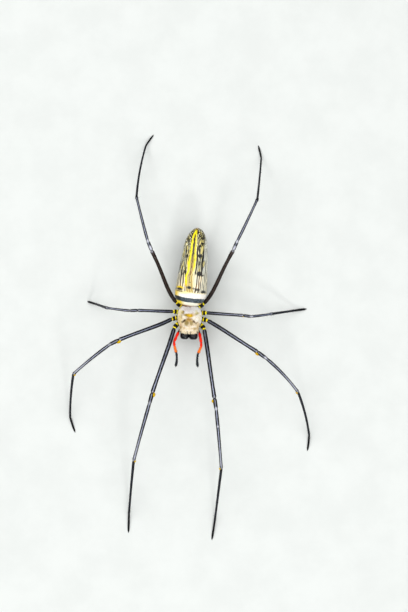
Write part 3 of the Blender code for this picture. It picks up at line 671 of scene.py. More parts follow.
def carapace_markings():
    """White and cream down with gold and brown marks round the pit of the thorax, and
    painted shade along its rear edge under the abdomen.
    """
    board, given, made = new_tree("carapace_markings", {"Place": VECTOR}, SURFACE)
    place = wandering(board, given["Place"], 1.0, 0.75)
    x, y, z = board.split(place)[:3]
    out = board.math("ABSOLUTE", x)
    middle = board.blend(board.fade(y, 6.5, 10.2), paint("faedcf"), paint("ffffff"))
    edge = board.blend(board.fade(y, 4.5, 9.5), paint("fbe2ae"), paint("fdf3cf"))
    # The outer part of the carapace is whiter on the right-hand side, from behind the head on
    whiter_right_side = board.times(board.fade(x, 1.0, 3.0), board.fade(y, 5.0, 6.5))
    edge = board.blend(whiter_right_side, edge, paint("fffbf2"))
    colour = board.blend(board.fade(out, 2.9, 4.6), middle, edge)
    patches = board.fade(board.noise(given["Place"], 0.75, 3.0, 0.6), 0.54, 0.66)
    # The patches and the shade mottling are random tone, but both fade out towards the rear:
    # painted light, so that the rear slope, in the abdomen's shade, is painted lighter
    front = board.fade(y, 10.8, 9.8)
    colour = board.lay(colour, "dcb85e", patches, board.times(front, 0.45))
    blush = board.fade(board.noise(given["Place"], 1.0, 2.0, 0.5), 0.56, 0.66)
    colour = board.lay(colour, "f0b99a", blush, 0.12)
    shade = board.fade(board.noise(given["Place"], 1.5, 2.0, 0.6), 0.56, 0.68)
    shade = board.times(shade, board.fade(y, 10.8, 9.6, 0.06, 0.42))
    colour = board.lay(colour, "a58748", shade)
    for code, at_x, at_y, half_x, half_y, turn, strength in CARAPACE_MARKS:
        mask = spot_mask(board, place, at_x, at_y, half_x, half_y, turn)
        colour = board.lay(colour, code, mask, strength)
    rim = board.times(board.fade(z, 10.25, 10.0), 0.9)
    colour = board.lay(colour, "4a3016", rim)
    fine = board.noise(given["Place"], 7.0, 3.0, 0.65)
    colour = board.blend(board.fade(fine, 0.62, 0.40, 0.0, 0.08), colour, paint("b08c50"))
    rough = board.fade(fine, 0.3, 0.7, 0.55, 0.72)
    return board.end(made, Color=colour, Height=fine, Roughness=rough)


def limb_markings():
    """Black horn with yellow rings at the root, a painted highlight along the upper side:
    a pale steel line under a glossy coat, standing in for the reflection of the light,
    and painted highlight spots at the joints. Bronze is brown where it is high."""
    inputs = {"Place": VECTOR, "Ring": VECTOR, "Joint": VECTOR, "Bronze": NUMBER}
    board, given, made = new_tree("limb_markings", inputs, {**SURFACE, "Shine": NUMBER})
    gold, line, knee = board.split(given["Joint"])[:3]
    across, down = board.split(given["Ring"])[:2]
    mottle = board.noise(given["Place"], 0.6, 3.0, 0.6)
    wobble = board.fade(board.noise(given["Place"], 1.5, 2.0), 0.3, 0.7, -0.48, 0.22)
    colour = board.blend(board.fade(mottle, 0.35, 0.7), paint("06060a"), paint("0d0d12"))
    bronze = board.blend(board.fade(mottle, 0.3, 0.7), paint("150b07"), paint("26170f"))
    colour = board.blend(given["Bronze"], colour, bronze)
    # Painted highlight: a pale steel stripe along the upper side, standing in for the
    # reflection of the light, as strong as the Joint's second value
    drift = board.fade(board.noise(given["Place"], 0.9, 2.0), 0.2, 0.8, -0.14, 0.14)
    off_centre = board.math("ABSOLUTE", board.plus(across, drift))
    above = board.fade(down, -0.35, -0.65)
    highlight_band = board.times(board.fade(off_centre, 0.34, 0.12), above)
    painted_highlight = board.times(highlight_band, board.times(line, board.fade(mottle, 0.3, 0.6, 0.6, 1.0)))
    painted_reflection = board.blend(given["Bronze"], paint("9299b4"), paint("4b352c"))
    colour = board.blend(board.times(painted_highlight, 0.80), colour, painted_reflection)
    # Pale painted highlight spots on the upper side of the joints, as strong as the Joint's
    # third value
    pale = board.times(board.times(board.fade(off_centre, 0.75, 0.35), above), knee)
    colour = board.lay(colour, "c9cbd8", pale)
    yellow = board.blend(board.fade(mottle, 0.4, 0.7), paint("fbf000"), paint("fbdc08"))
    ring_mask = board.fade(board.plus(gold, wobble), 0.42, 0.62)
    colour = board.blend(ring_mask, colour, yellow)
    grain = board.noise(given["Place"], 11.0, 3.0, 0.6)
    soft = board.fade(grain, 0.3, 0.7, 0.42, 0.52)
    smooth = board.fade(grain, 0.3, 0.7, 0.20, 0.28)
    shine = board.math("MAXIMUM", painted_highlight, pale)
    inputs = {"Factor": shine, "A": soft, "B": smooth}
    rough = board.first("ShaderNodeMix", inputs, data_type="FLOAT")
    return board.end(made, Color=colour, Height=grain, Roughness=rough, Shine=shine)


def palp_markings():
    """Scarlet to the palp's knee, orange beyond it, and a black tip. Its root is
    painted dark red-black: painted shade under the corner of the head.
    """
    inputs = {"Place": VECTOR, "Travel": NUMBER}
    board, given, made = new_tree("palp_markings", inputs, SURFACE)
    mottle = board.noise(given["Place"], 1.3, 3.0, 0.6)
    reach = board.plus(given["Travel"], board.fade(mottle, 0.2, 0.8, -0.25, 0.25))
    root, femur, patella, tibia = palp_ends()[:4]
    colour = board.blend(board.fade(mottle, 0.3, 0.7), paint("f80e00"), paint("ff3410"))
    # Painted shade: the root goes dark red-black where the head's corner hangs over it
    colour = board.blend(board.fade(reach, root + 0.9, root + 0.1), colour, paint("3a0604"))
    colour = board.blend(
        board.fade(reach, patella - 0.3, patella + 0.5), colour, paint("ff7c26")
    )
    ring = board.times(
        board.fade(reach, femur - 0.3, femur), board.fade(reach, femur + 0.5, femur + 0.1)
    )
    colour = board.lay(colour, "a80f08", ring, 0.6)
    colour = board.blend(board.fade(reach, tibia - 0.55, tibia - 0.3), colour, paint("701208"))
    colour = board.blend(board.fade(reach, tibia - 0.35, tibia - 0.1), colour, paint("20242b"))
    grain = board.noise(given["Place"], 10.0, 3.0, 0.6)
    rough = board.fade(grain, 0.3, 0.7, 0.28, 0.44)
    return board.end(made, Color=colour, Height=grain, Roughness=rough)


def horn_grain():
    """Fine pores and dull patches of horn, for plates, jaws, claws and spinnerets."""
    inputs = {"Place": VECTOR, "Dark": COLOUR, "Light": COLOUR, "Scale": NUMBER}
    board, given, made = new_tree("horn_grain", inputs, SURFACE)
    broad = board.noise(given["Place"], 0.5, 3.0, 0.6)
    fine = board.noise(given["Place"], given["Scale"], 3.0)
    colour = board.blend(board.fade(broad, 0.35, 0.65), given["Dark"], given["Light"])
    rough = board.fade(fine, 0.3, 0.7, 0.10, 0.30)
    return board.end(made, Color=colour, Height=fine, Roughness=rough)


def finish(name, group, wiring, relief, rougher, values, painted_highlight=False):
    """A material from one of the groups: wiring feeds the group, relief is the height of
    the bumps in millimetres, rougher is added to the group's roughness, and values are
    the shader's own."""
    material = bpy.data.materials.new(name)
    material.use_nodes = True
    board = Board(material.node_tree)
    sockets = material.node_tree.nodes["Principled BSDF"].inputs
    inputs = {label: source(board) for label, source in wiring.items()}
    node = board.node("ShaderNodeGroup", inputs, node_tree=group)
    rough = node.outputs["Roughness"]
    board.feed(sockets["Base Color"], node.outputs["Color"])
    board.feed(sockets["Roughness"], board.plus(rough, rougher) if rougher else rough)
    # The coat's weight follows the mask of the painted highlights, where the group gives one
    if painted_highlight:
        board.feed(sockets["Coat Weight"], node.outputs["Shine"])
    bumps = {"Height": node.outputs["Height"], "Distance": relief * MM, "Strength": 1.0}
    board.feed(sockets["Normal"], board.first("ShaderNodeBump", bumps))
    for label, value in values.items():
        sockets[label].default_value = value
    return material


def read_place(board):
    """Places on the finished piece in millimetres."""
    coordinates = board.node("ShaderNodeTexCoord").outputs["Object"]
    return board.vector("MULTIPLY", coordinates, (1 / MM, 1 / MM, 1 / MM))


def read(name, output="Vector"):
    """A source that reads what the piece's points keep under this name."""
    return lambda board: board.attribute(name, output)


def fixed(value):
    """A source that is the same all over."""
    return lambda board: value


# Finishes of plain horn: dark and light colour, scale of its grain, height of its bumps,
# roughness added and the shader's own values
HORNS = {
    "joint_pad": ("c49a00", "d6b400", 5.0, 0.02, 0.3, {"Specular IOR Level": 0.08}),
    "jaw_horn": (
        "05060b", "090c13", 6.0, 0.008, 0.0,
        {"Specular IOR Level": 0.12, "Coat Weight": 0.38, "Coat Roughness": 0.12},
    ),
    "fang_horn": (
        "16090a", "2c0f0c", 8.0, 0.004, 0.0,
        {"Specular IOR Level": 0.6, "Coat Weight": 0.6, "Coat Roughness": 0.08},
    ),
    "claw_horn": ("100d0c", "1d1512", 9.0, 0.003, 0.0, {}),
    "spine_horn": ("0e0d0f", "1c1a1a", 9.0, 0.002, 0.0, {}),
    "eye_glass": (
        "050404", "0d0807", 3.0, 0.0005, -0.08, {"Coat Weight": 1.0, "Coat Roughness": 0.02}
    ),
    "plate_horn": ("23150d", "3d2615", 4.0, 0.015, 0.15, {"Specular IOR Level": 0.45}),
    "mouth_horn": ("2a1710", "5a3318", 4.0, 0.012, 0.15, {}),
    "soft_skin": ("1a1210", "33231a", 3.0, 0.05, 0.30, {}),
    "spinneret_horn": ("2b1a10", "4d3119", 5.0, 0.012, 0.20, {}),
    "pale_bristle": ("8d7a58", "c9b78e", 5.0, 0.001, 0.30, {}),
}


def make_finishes():
    """Every material of the model, by its name."""
    abdomen, carapace, limb = abdomen_markings(), carapace_markings(), limb_markings()
    palp, horn = palp_markings(), horn_grain()
    hide = {"Place": read("place"), "Chart": read("chart"), "Stripes": read("stripes")}
    fuzz = {"Place": read("place")}
    legs = {
        "Place": read_place, "Ring": read("ring"), "Joint": read("joint"),
        "Bronze": read("bronze", "Fac"),
    }
    palps = {"Place": read_place, "Travel": read("travel", "Fac")}
    fluffy = {"Specular IOR Level": 0.4, "Sheen Weight": 0.25, "Sheen Roughness": 0.4}
    glossy = {"Specular IOR Level": 0.15, "Coat Roughness": 0.12, "Coat IOR": 1.9}
    dull = {"Specular IOR Level": 0.15}
    kinds = {
        "abdomen_hide": (abdomen, hide, 0.035, 0.0, {"Specular IOR Level": 0.45}),
        "abdomen_down": (abdomen, hide, 0.004, 0.1, {}),
        "carapace_hide": (carapace, fuzz, 0.03, 0.0, {"Specular IOR Level": 0.3}),
        "carapace_down": (carapace, fuzz, 0.004, 0.0, fluffy),
        "leg_horn": (limb, legs, 0.004, 0.0, glossy, True),
        "leg_bristle": (limb, legs, 0.002, 0.0, dull),
        "palp_horn": (palp, palps, 0.006, 0.0, dull),
    }
    for name, (dark, light, scale, *rest) in HORNS.items():
        wiring = {
            "Place": read_place, "Dark": fixed(paint(dark)), "Light": fixed(paint(light)),
            "Scale": fixed(scale),
        }
        kinds[name] = (horn, wiring, *rest)
    return {name: finish(name, *kind) for name, kind in kinds.items()}


def smoothstep(low, high, value):
    """Rises smoothly from 0 at low to 1 at high."""
    share = np.clip((value - low) / (high - low), 0.0, 1.0)
    return share * share * (3 - 2 * share)


def blunt(share, power):
    """Rises from 0 at an end to 1, as the end of a rounded block does."""
    share = np.clip(share, 0.0, 1.0)
    return (1 - (1 - share) ** power) ** (1 / power)


def signed_power(value, power):
    return np.sign(value) * np.abs(value) ** power


def swelling(humps, x, t, length):
    """How high round humps stand at x across and place t along a shape this long."""
    total = 0
    for place, out, height, spread in humps:
        along = (t - place) * length
        total = total + height * np.exp(-(along**2 + (np.abs(x) - out) ** 2) / spread**2)
    return total


def smooth_curve(knots, at):
    """The height at each place of a smooth curve through knots of (place, height)."""
    places, heights = np.array(knots, float).T
    slopes = np.gradient(heights, places)
    left = np.clip(np.searchsorted(places, at, side="right") - 1, 0, len(places) - 2)
    width = places[left + 1] - places[left]
    s = np.clip((at - places[left]) / width, 0, 1)
    return (
        heights[left] * (2 * s**3 - 3 * s**2 + 1)
        + heights[left + 1] * (3 * s**2 - 2 * s**3)
        + slopes[left] * width * (s**3 - 2 * s**2 + s)
        + slopes[left + 1] * width * (s**3 - s**2)
    )


def body_matrix():
    """Turns a place out from the body's middle into a place in the model, both in metres."""
    middle = Matrix.Translation(Vector((*BODY_CENTRE, 0)) * MM)
    turn = Matrix.Rotation(math.radians(BODY_YAW), 4, "Z")
    return middle @ turn @ Matrix.Translation(Vector((0, -TURN_Y, 0)) * MM)


def abdomen_matrix():
    """Turns a place in the abdomen's own frame, in metres, into a place in the model."""
    yaw = Matrix.Rotation(math.radians(ABDOMEN_YAW), 4, "Z")
    pitch = Matrix.Rotation(math.radians(ABDOMEN_PITCH), 4, "X")
    roll = Matrix.Rotation(math.radians(-ABDOMEN_ROLL), 4, "Y")
    return Matrix.Translation(Vector(ABDOMEN_FRONT) * MM) @ yaw @ pitch @ roll


def body_point(out, y, z):
    """A place in the body's frame, turned into the model's."""
    return np.array(body_matrix() @ (Vector((out, y, z)) * MM)) / MM


def moved(places, matrix, directions=False):
    """Places, or directions, in an own frame turned into the model's frame."""
    turn = np.array(matrix.to_3x3())
    shift = 0 if directions else np.array(matrix.translation) / MM
    return places @ turn.T + shift


def places_of(mesh):
    """Where the points of the mesh are."""
    places = np.empty(len(mesh.vertices) * 3, np.float32)
    mesh.vertices.foreach_get("co", places)
    return places.reshape(-1, 3)


def store(mesh, name, values):
    """Keeps a value or a vector for each point of the mesh under this name."""
    kind, field = ("FLOAT", "value") if values.ndim == 1 else ("FLOAT_VECTOR", "vector")
    layer = mesh.attributes.new(name, kind, "POINT")
    layer.data.foreach_set(field, np.ascontiguousarray(values, np.float32).ravel())


def add_piece(name, mesh, material, replaced=()):
    """A piece of the render that rides on the body and takes the place of solids."""
    mesh.name = name
    mesh.materials.clear()
    mesh.materials.append(material)
    mesh.shade_smooth()
    piece = bpy.data.objects.new(name, mesh)
    bpy.context.scene.collection.objects.link(piece)
    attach(piece, BODY)
    if replaced:
        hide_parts(*replaced)


def unit(vectors):
    return vectors / np.maximum(np.linalg.norm(vectors, axis=-1, keepdims=True), 1e-9)


def steps_between(points):
    return np.linalg.norm(np.diff(np.array(points), axis=0), axis=1)


def way_along(points):
    """How far along their path each of the points lies."""
    return np.concatenate([[0], np.cumsum(steps_between(points))])


def join_meshes(name, meshes):
    """One mesh of several, which are given up for it."""
    shape = bmesh.new()
    for mesh in meshes:
        shape.from_mesh(mesh)
        bpy.data.meshes.remove(mesh)
    joined = bpy.data.meshes.new(name)
    shape.to_mesh(joined)
    shape.free()
    return joined


# Step along a shape, or round it, that its slope is taken over
SHAPE_STEP = 0.004


def ball_mesh(around, along):
    """A sphere of quads with a fan at each pole. Its faces always come in one order, so
    that the hair on it is scattered alike each time."""
    tilts = np.pi * np.arange(1, along) / along
    turns = 2 * np.pi * np.arange(around) / around
    rings = [
        (np.sin(tilt) * np.cos(turn), np.sin(tilt) * np.sin(turn), np.cos(tilt))
        for tilt in tilts for turn in turns
    ]
    faces = []
    for number in range(around):
        after = (number + 1) % around
        starts = 1 + around * np.arange(along - 1)
        faces.append((0, int(starts[0]) + number, int(starts[0]) + after))
        for above, below in zip(starts[:-1].tolist(), starts[1:].tolist()):
            faces.append((above + number, below + number, below + after, above + after))
        faces.append((int(starts[-1]) + number, len(rings) + 1, int(starts[-1]) + after))
    mesh = bpy.data.meshes.new("moulded")
    mesh.from_pydata([(0.0, 0.0, 1.0), *rings, (0.0, 0.0, -1.0)], [], faces)
    return mesh


def moulded(shape_of, around, along, matrix, extras=None):
    """A closed skin moulded from a sphere: shape_of takes places along it, from 0 to 1,
    and angles round it, and gives points in millimetres in the frame of the matrix.
    extras gives more values to keep, from the places along, the angles and the points."""
    mesh = ball_mesh(around, along)
    sphere = places_of(mesh).astype(float)
    t = np.clip((1 - sphere[:, 2]) / 2, 0, 1)
    angle = np.arctan2(sphere[:, 1], sphere[:, 0])
    place = np.stack(shape_of(t, angle), axis=1)
    behind = np.stack(shape_of(np.clip(t - SHAPE_STEP, 0, 1), angle), axis=1)
    onward = np.stack(shape_of(np.clip(t + SHAPE_STEP, 0, 1), angle), axis=1)
    world = moved(place, matrix)
    mesh.vertices.foreach_set("co", (world * MM).astype(np.float32).ravel())
    values = {
        "place": place,
        "ring": np.stack([np.cos(angle), np.sin(angle), 0 * angle], axis=1),
        "along": t,
        "lie": unit(moved(onward - behind, matrix, directions=True)),
        "growth": np.ones_like(t),
        "reach": np.ones_like(t),
    }
    if extras:
        values.update(extras(t, angle, place))
    for name, value in values.items():
        store(mesh, name, value)
    face_outwards(mesh)
    return mesh


def point_on(shape_of, t, angle):
    """One point of a shape, from its place along it and the angle round it."""
    return np.array(shape_of(np.array([t]), np.array([angle]))).ravel()


def pebble(centre, ahead, side_way, upward, half_length, half_width):
    """A function for a smooth oval body round a centre, with its length ahead."""

    def shape(t, angle):
        ring = np.sqrt(np.clip(1 - (2 * t - 1) ** 2, 0, 1)) * half_width
        place = (
            centre
            + ahead * (half_length * (2 * t - 1))[:, None]
            + side_way * (ring * np.cos(angle))[:, None]
            + upward * (ring * np.sin(angle))[:, None]
        )
        return place[:, 0], place[:, 1], place[:, 2]

    return shape


def face_outwards(mesh):
    """Turns the faces round where they point inwards."""
    shape = bmesh.new()
    shape.from_mesh(mesh)
    if shape.calc_volume(signed=True) < 0:
        bmesh.ops.reverse_faces(shape, faces=shape.faces)
        shape.to_mesh(mesh)
    shape.free()


def grow_tube_tree():
    """Geometry nodes: a tube of varying thickness along a path of edges. Each point of
    the path keeps its thickness and its other values, which pass on to the tube."""
    board, given, made = new_tree(
        "grow_tube", {"Path": SHAPE, "Sides": WHOLE, "Finish": MATERIAL}, {"Tube": SHAPE},
        "GeometryNodeTree",
    )
    curve = board.first("GeometryNodeMeshToCurve", {0: given["Path"]})
    tangent = board.first("GeometryNodeInputTangent")
    lying = board.keep(curve, "lie", tangent, data_type="FLOAT_VECTOR")
    upright = board.first("GeometryNodeSetCurveNormal", {"Curve": lying}, mode="Z_UP")
    circle = board.first(
        "GeometryNodeCurvePrimitiveCircle", {"Resolution": given["Sides"], "Radius": 1.0}
    )
    place = board.first("GeometryNodeInputPosition")
    ring = board.keep(circle, "ring", place, data_type="FLOAT_VECTOR")
    thick = board.first("GeometryNodeInputNamedAttribute", {"Name": "thick"})
    inputs = {"Curve": upright, "Profile Curve": ring, "Scale": thick, "Fill Caps": True}
    tube = board.first("GeometryNodeCurveToMesh", inputs)
    realised = board.first("GeometryNodeRealizeInstances", {0: tube})
    inputs = {"Geometry": realised, "Material": given["Finish"]}
    return board.end(made, Tube=board.first("GeometryNodeSetMaterial", inputs))


# The unwrap of a coat: the share of the square that its skin takes up, and the size of
# the patch that each tuft has on it
UNWRAP_USED = 0.99
TUFT_PATCH = 0.003


def plant_tree(name, scattered):
    """Geometry nodes: copies of a tuft set on a skin, each along the skin's lie, and
    each a small patch of its own on the unwrap of the skin. Scattered tufts fall where
    the skin's growth lets them, and others stand one on each point given."""
    sockets = {
        "Skin": SHAPE, "Tuft": THING, "Density": NUMBER, "Length": NUMBER, "Width": NUMBER,
        "Lift": NUMBER, "Spread": NUMBER, "Seed": WHOLE, "Finish": MATERIAL,
    }
    board, given, made = new_tree(name, sockets, {"Coat": SHAPE}, "GeometryNodeTree")

    def named(label, kind="FLOAT"):
        inputs = {"Name": label}
        return board.first("GeometryNodeInputNamedAttribute", inputs, data_type=kind)

    def turned_by(axis, angle):
        return board.first("FunctionNodeAxisAngleToRotation", {"Axis": axis, "Angle": angle})

    def chance(low, high, number):
        inputs = {"Min_001": low, "Max_001": high, "Seed": board.plus(given["Seed"], number)}
        node = board.node("FunctionNodeRandomValue", data_type="FLOAT")
        for socket in node.inputs:
            if socket.identifier in inputs:
                board.feed(socket, inputs[socket.identifier])
        return node.outputs[1]

    if scattered:
        density = board.times(given["Density"], named("growth"))
        scatter = board.node(
            "GeometryNodeDistributePointsOnFaces",
            {"Mesh": given["Skin"], "Density": density, "Seed": given["Seed"]},
        )
        points, upward = scatter.outputs["Points"], scatter.outputs["Normal"]
    else:
        points = board.first("GeometryNodeMeshToPoints", {"Mesh": given["Skin"]})
        upward = named("upward", "FLOAT_VECTOR")
    stance = board.first(
        "FunctionNodeAxesToRotation",
        {"Primary Axis": upward, "Secondary Axis": named("lie", "FLOAT_VECTOR")},
        primary_axis="Z", secondary_axis="X",
    )
    swing = turned_by((0.0, 0.0, 1.0), board.times(given["Spread"], chance(-1.0, 1.0, 1)))
    raised = turned_by((0.0, 1.0, 0.0), board.times(given["Lift"], chance(-1.4, -0.6, 2)))
    for turn in (swing, raised):
        inputs = {"Rotation": stance, "Rotate By": turn}
        stance = board.first("FunctionNodeRotateRotation", inputs, rotation_space="LOCAL")
    reach = board.times(named("reach"), chance(0.7, 1.3, 3))
    length = board.times(given["Length"], reach)
    width = board.times(given["Width"], chance(0.8, 1.2, 4))
    tuft = board.node("GeometryNodeObjectInfo", {"Object": given["Tuft"]}).outputs["Geometry"]
    inputs = {
        "Points": points, "Instance": tuft, "Rotation": stance,
        "Scale": board.join(length, width, width),
    }
    copies = board.first("GeometryNodeInstanceOnPoints", inputs)
    realised = board.first("GeometryNodeRealizeInstances", {0: copies})
    across, up = board.split(named("ring", "FLOAT_VECTOR"))[:2]
    round_it = board.math("ARCTAN2", up, across)
    turned = board.times(round_it, UNWRAP_USED / (2 * math.pi))
    turned = board.plus(turned, UNWRAP_USED / 2)
    base = board.join(turned, board.times(named("along"), UNWRAP_USED), 0.0)
    patch_size = (TUFT_PATCH, TUFT_PATCH, 0.0)
    patch = board.vector("MULTIPLY", named("patch", "FLOAT_VECTOR"), patch_size)
    unwrap = board.vector("ADD", base, patch)
    mapped = board.keep(realised, "OFBake", unwrap, data_type="FLOAT2", domain="CORNER")
    inputs = {"Geometry": mapped, "Material": given["Finish"]}
    return board.end(made, Coat=board.first("GeometryNodeSetMaterial", inputs))


def run_tree(tree, mesh, inputs):
    """The mesh that the tree makes from this one, with inputs by their labels."""
    holder = bpy.data.objects.new("holder", mesh)
    bpy.context.scene.collection.objects.link(holder)
    step = holder.modifiers.new("step", "NODES")
    step.node_group = tree
    for item in tree.interface.items_tree:
        if item.in_out == "INPUT" and item.name in inputs:
            step[item.identifier] = inputs[item.name]
    bpy.context.view_layer.update()
    graph = bpy.context.evaluated_depsgraph_get()
    made = bpy.data.meshes.new_from_object(holder.evaluated_get(graph))
    holder.modifiers.remove(step)
    bpy.data.objects.remove(holder, do_unlink=True)
    return made


# Tufts one unit long: place along, lift and thickness of each station
TUFTS = {
    "down": ((0, -0.6, 0.5), (0.5, 0.9, 0.42), (1, 0.5, 0)),
    "spine": ((0, -0.6, 0.5), (0.3, 0.3, 0.42), (0.65, 0.2, 0.28), (1, -0.9, 0)),
}

# Height of a tuft as a share of its width, and how far tufts turn out of the coat's lie
TUFT_FLATNESS = 0.2
USUAL_SPREAD = 25.0


def tuft_mesh(name, stations):
    """A flat three-sided tapered tuft one unit long along +X, from stations of place,
    lift and thickness, that ends in a point."""
    shape = bmesh.new()
    rings = []
    for x, lift, thick in stations[:-1]:
        ring = []
        for corner in range(3):
            angle = math.radians(90 + 120 * corner)
            y, z = math.cos(angle) * thick, lift + math.sin(angle) * thick * TUFT_FLATNESS
            ring.append(shape.verts.new((x, y, z)))
        rings.append(ring)
    tip = shape.verts.new((stations[-1][0], 0, stations[-1][1]))
    for first, second in zip(rings, rings[1:]):
        for corner in range(3):
            after = (corner + 1) % 3
            shape.faces.new((first[corner], first[after], second[after], second[corner]))
    for corner in range(3):
        shape.faces.new((rings[-1][corner], rings[-1][(corner + 1) % 3], tip))
    shape.faces.new(reversed(rings[0]))
    bmesh.ops.triangulate(shape, faces=shape.faces)
    bmesh.ops.recalc_face_normals(shape, faces=shape.faces)
    mesh = bpy.data.meshes.new(name)
    shape.to_mesh(mesh)
    shape.free()
    co = np.array([vertex.co for vertex in mesh.vertices])
    store(mesh, "patch", np.stack([co[:, 0], co[:, 1] + 0.5, 0 * co[:, 0]], axis=1))
    return mesh


class Workshop:
    """The finishes, the trees and the tufts that the pieces are made with."""

    def __init__(self):
        self.finishes = make_finishes()
        self.tube = grow_tube_tree()
        self.scatter = plant_tree("scatter_tufts", scattered=True)
        self.plant = plant_tree("plant_spines", scattered=False)
        self.tufts = {
            kind: bpy.data.objects.new(kind, tuft_mesh(kind, stations))
            for kind, stations in TUFTS.items()
        }

    def dress(self, name, mesh, finish, slot, replaced=(), coats=None):
        """A piece in one finish, and over it coats of hair by their names, each as its
        finish, its kind of tuft and its sizes."""
        skins = [mesh.copy() for _ in coats or ()]
        add_piece(name, mesh, self.finishes[finish], replaced)
        for skin, (label, (hair, kind, sizes)) in zip(skins, (coats or {}).items()):
            self.coat(label, skin, hair, slot, kind, **sizes)

    def coat(self, name, skin, finish, slot, kind="down", scattered=True, **sizes):
        """Tufts over a skin, with sizes in millimetres, degrees and tufts per square mm."""
        inputs = {
            "Tuft": self.tufts[kind],
            "Density": sizes.get("density", 0.0) / MM**2,
            "Length": sizes["length"] * MM,
            "Width": sizes["width"] * MM,
            "Lift": math.radians(sizes["lift"]),
            "Spread": math.radians(sizes.get("spread", USUAL_SPREAD)),
            "Seed": sizes["seed"],
            "Finish": self.finishes[finish],
        }
        tree = self.scatter if scattered else self.plant
        mesh = run_tree(tree, skin, inputs)
        keep_above_floor(mesh)
        add_piece(name, mesh, self.finishes[finish])
        mesh.shade_flat()

    def tube_mesh(self, points, radii, sides, finish, values=None):
        """A closed tube through points in millimetres with these radii."""
        mesh = bpy.data.meshes.new("path")
        edges = [(number, number + 1) for number in range(len(points) - 1)]
        mesh.from_pydata([tuple(point * MM) for point in points], edges, [])
        store(mesh, "thick", np.asarray(radii) * MM)
        reached = way_along(points)
        store(mesh, "along", reached / reached[-1])
        for label, value in (values or {}).items():
            store(mesh, label, np.asarray(value, float))
        inputs = {"Sides": sides, "Finish": self.finishes[finish]}
        return run_tree(self.tube, mesh, inputs)


def carapace_half_width(t):
    """The wider of the head, which fades out over the thorax, and the round thorax."""
    head = HEAD_HALF_WIDTH * np.maximum(1 - (t / HEAD_REACH) ** 3, 0)
    from_middle = np.minimum(np.abs(t - THORAX_MIDDLE) / THORAX_REACH, 1)
    thorax = THORAX_HALF_WIDTH * (1 - from_middle**2.5) ** 0.4
    widest = (head**8 + thorax**8) ** (1 / 8)
    return widest * blunt(t / 0.14, 3) * blunt((1 - t) / 0.06, 2.5)


def carapace_rise(t):
    """How high the middle of the back stands above the rim: head, groove and thorax."""
    groove = smoothstep(0.30, 0.52, t)
    level = HEAD_RISE + (THORAX_RISE - HEAD_RISE) * groove
    slope = 1 - REAR_SLOPE * smoothstep(THORAX_MIDDLE, 1.0, t)
    return level * blunt(t / 0.16, 2.3) * slope * blunt((1 - t) / 0.08, 2.2)


def carapace_furrows(x, y):
    """How deep the head's groove and the furrows of the thorax cut in at x, y."""
    out = np.abs(x)
    groove_out, groove_y = np.array(HEAD_GROOVE).T
    groove_at = np.interp(out, groove_out, groove_y)
    away = (y - groove_at) * 0.72
    fades = smoothstep(0.1, 0.8, out)
    deep = HEAD_GROOVE_DEPTH * np.exp(-((away / HEAD_GROOVE_WIDTH) ** 2)) * fades
    heading = np.degrees(np.arctan2(out, y - PIT[1]))
    far = np.hypot(out, y - PIT[1])
    for centre, depth in THORAX_FURROWS:
        sharp = np.exp(-(((heading - centre) / FURROW_SPREAD) ** 2))
        deep = deep + depth * sharp * smoothstep(0.8, 1.8, far) * smoothstep(5.2, 3.8, far)
    return deep


def carapace_shape(t, angle):
    """The points at places t along the carapace, front to rear, and angles round it."""
    x = (carapace_half_width(t) - CARAPACE_COAT) * signed_power(np.cos(angle), 0.9)
    x = np.where(carapace_half_width(t) < CARAPACE_COAT, 0, x)
    up = np.sin(angle)
    y = CARAPACE_FRONT + CARAPACE_COAT + t * (CARAPACE_LENGTH - 2 * CARAPACE_COAT)
    below = CARAPACE_RIM_Z - CARAPACE_UNDER * np.minimum(-up * 3, 1) * blunt(t / 0.05, 2)
    humps = swelling(HUMPS, x, t, CARAPACE_LENGTH) - carapace_furrows(x, y)
    rise = np.maximum(carapace_rise(t) - CARAPACE_COAT, 0.0)
    lifted = np.abs(up) ** 0.85
    above = CARAPACE_RIM_Z + rise * lifted + humps * np.clip(2 * up, 0, 1)
    return x, y, np.where(up < 0, below, above)


def carapace_extras(t, angle, place):
    """Down grows outwards from the pit, thick above and thin at the rim and the eyes."""
    from_pit = place - np.array([*PIT, 12.0])
    from_pit[:, 2] *= 0.4
    lie = unit(moved(from_pit, body_matrix(), directions=True))
    up = np.sin(angle)
    growth = np.clip(up * 3, 0, 1) * smoothstep(0.0, 0.015, t)
    return {"lie": lie, "growth": growth, "reach": 0.55 + 0.45 * smoothstep(0.05, 0.35, t)}


def make_carapace(shop):
    mesh = moulded(carapace_shape, 160, 150, body_matrix(), carapace_extras)
    down = dict(density=120, length=0.55, width=0.060, lift=7, spread=24, seed=3)
    long_hair = dict(density=3.0, length=0.95, width=0.030, lift=32, spread=30, seed=4)
    coats = {
        "carapace_down": ("carapace_down", "down", down),
        "carapace_long_hair": ("pale_bristle", "spine", long_hair),
    }
    shop.dress("carapace_skin", mesh, "carapace_hide", "golden_fuzz", ["carapace"], coats)


def carapace_normal(place, angle):
    """A point of the carapace, and the direction outwards there, in its own frame."""
    here = point_on(carapace_shape, place, angle)
    along = point_on(carapace_shape, place + SHAPE_STEP, angle) - here
    around = point_on(carapace_shape, place, angle + SHAPE_STEP) - here
    normal = np.cross(along, around)
    normal = normal / np.linalg.norm(normal)
    return here, normal if normal[2] > 0 else -normal


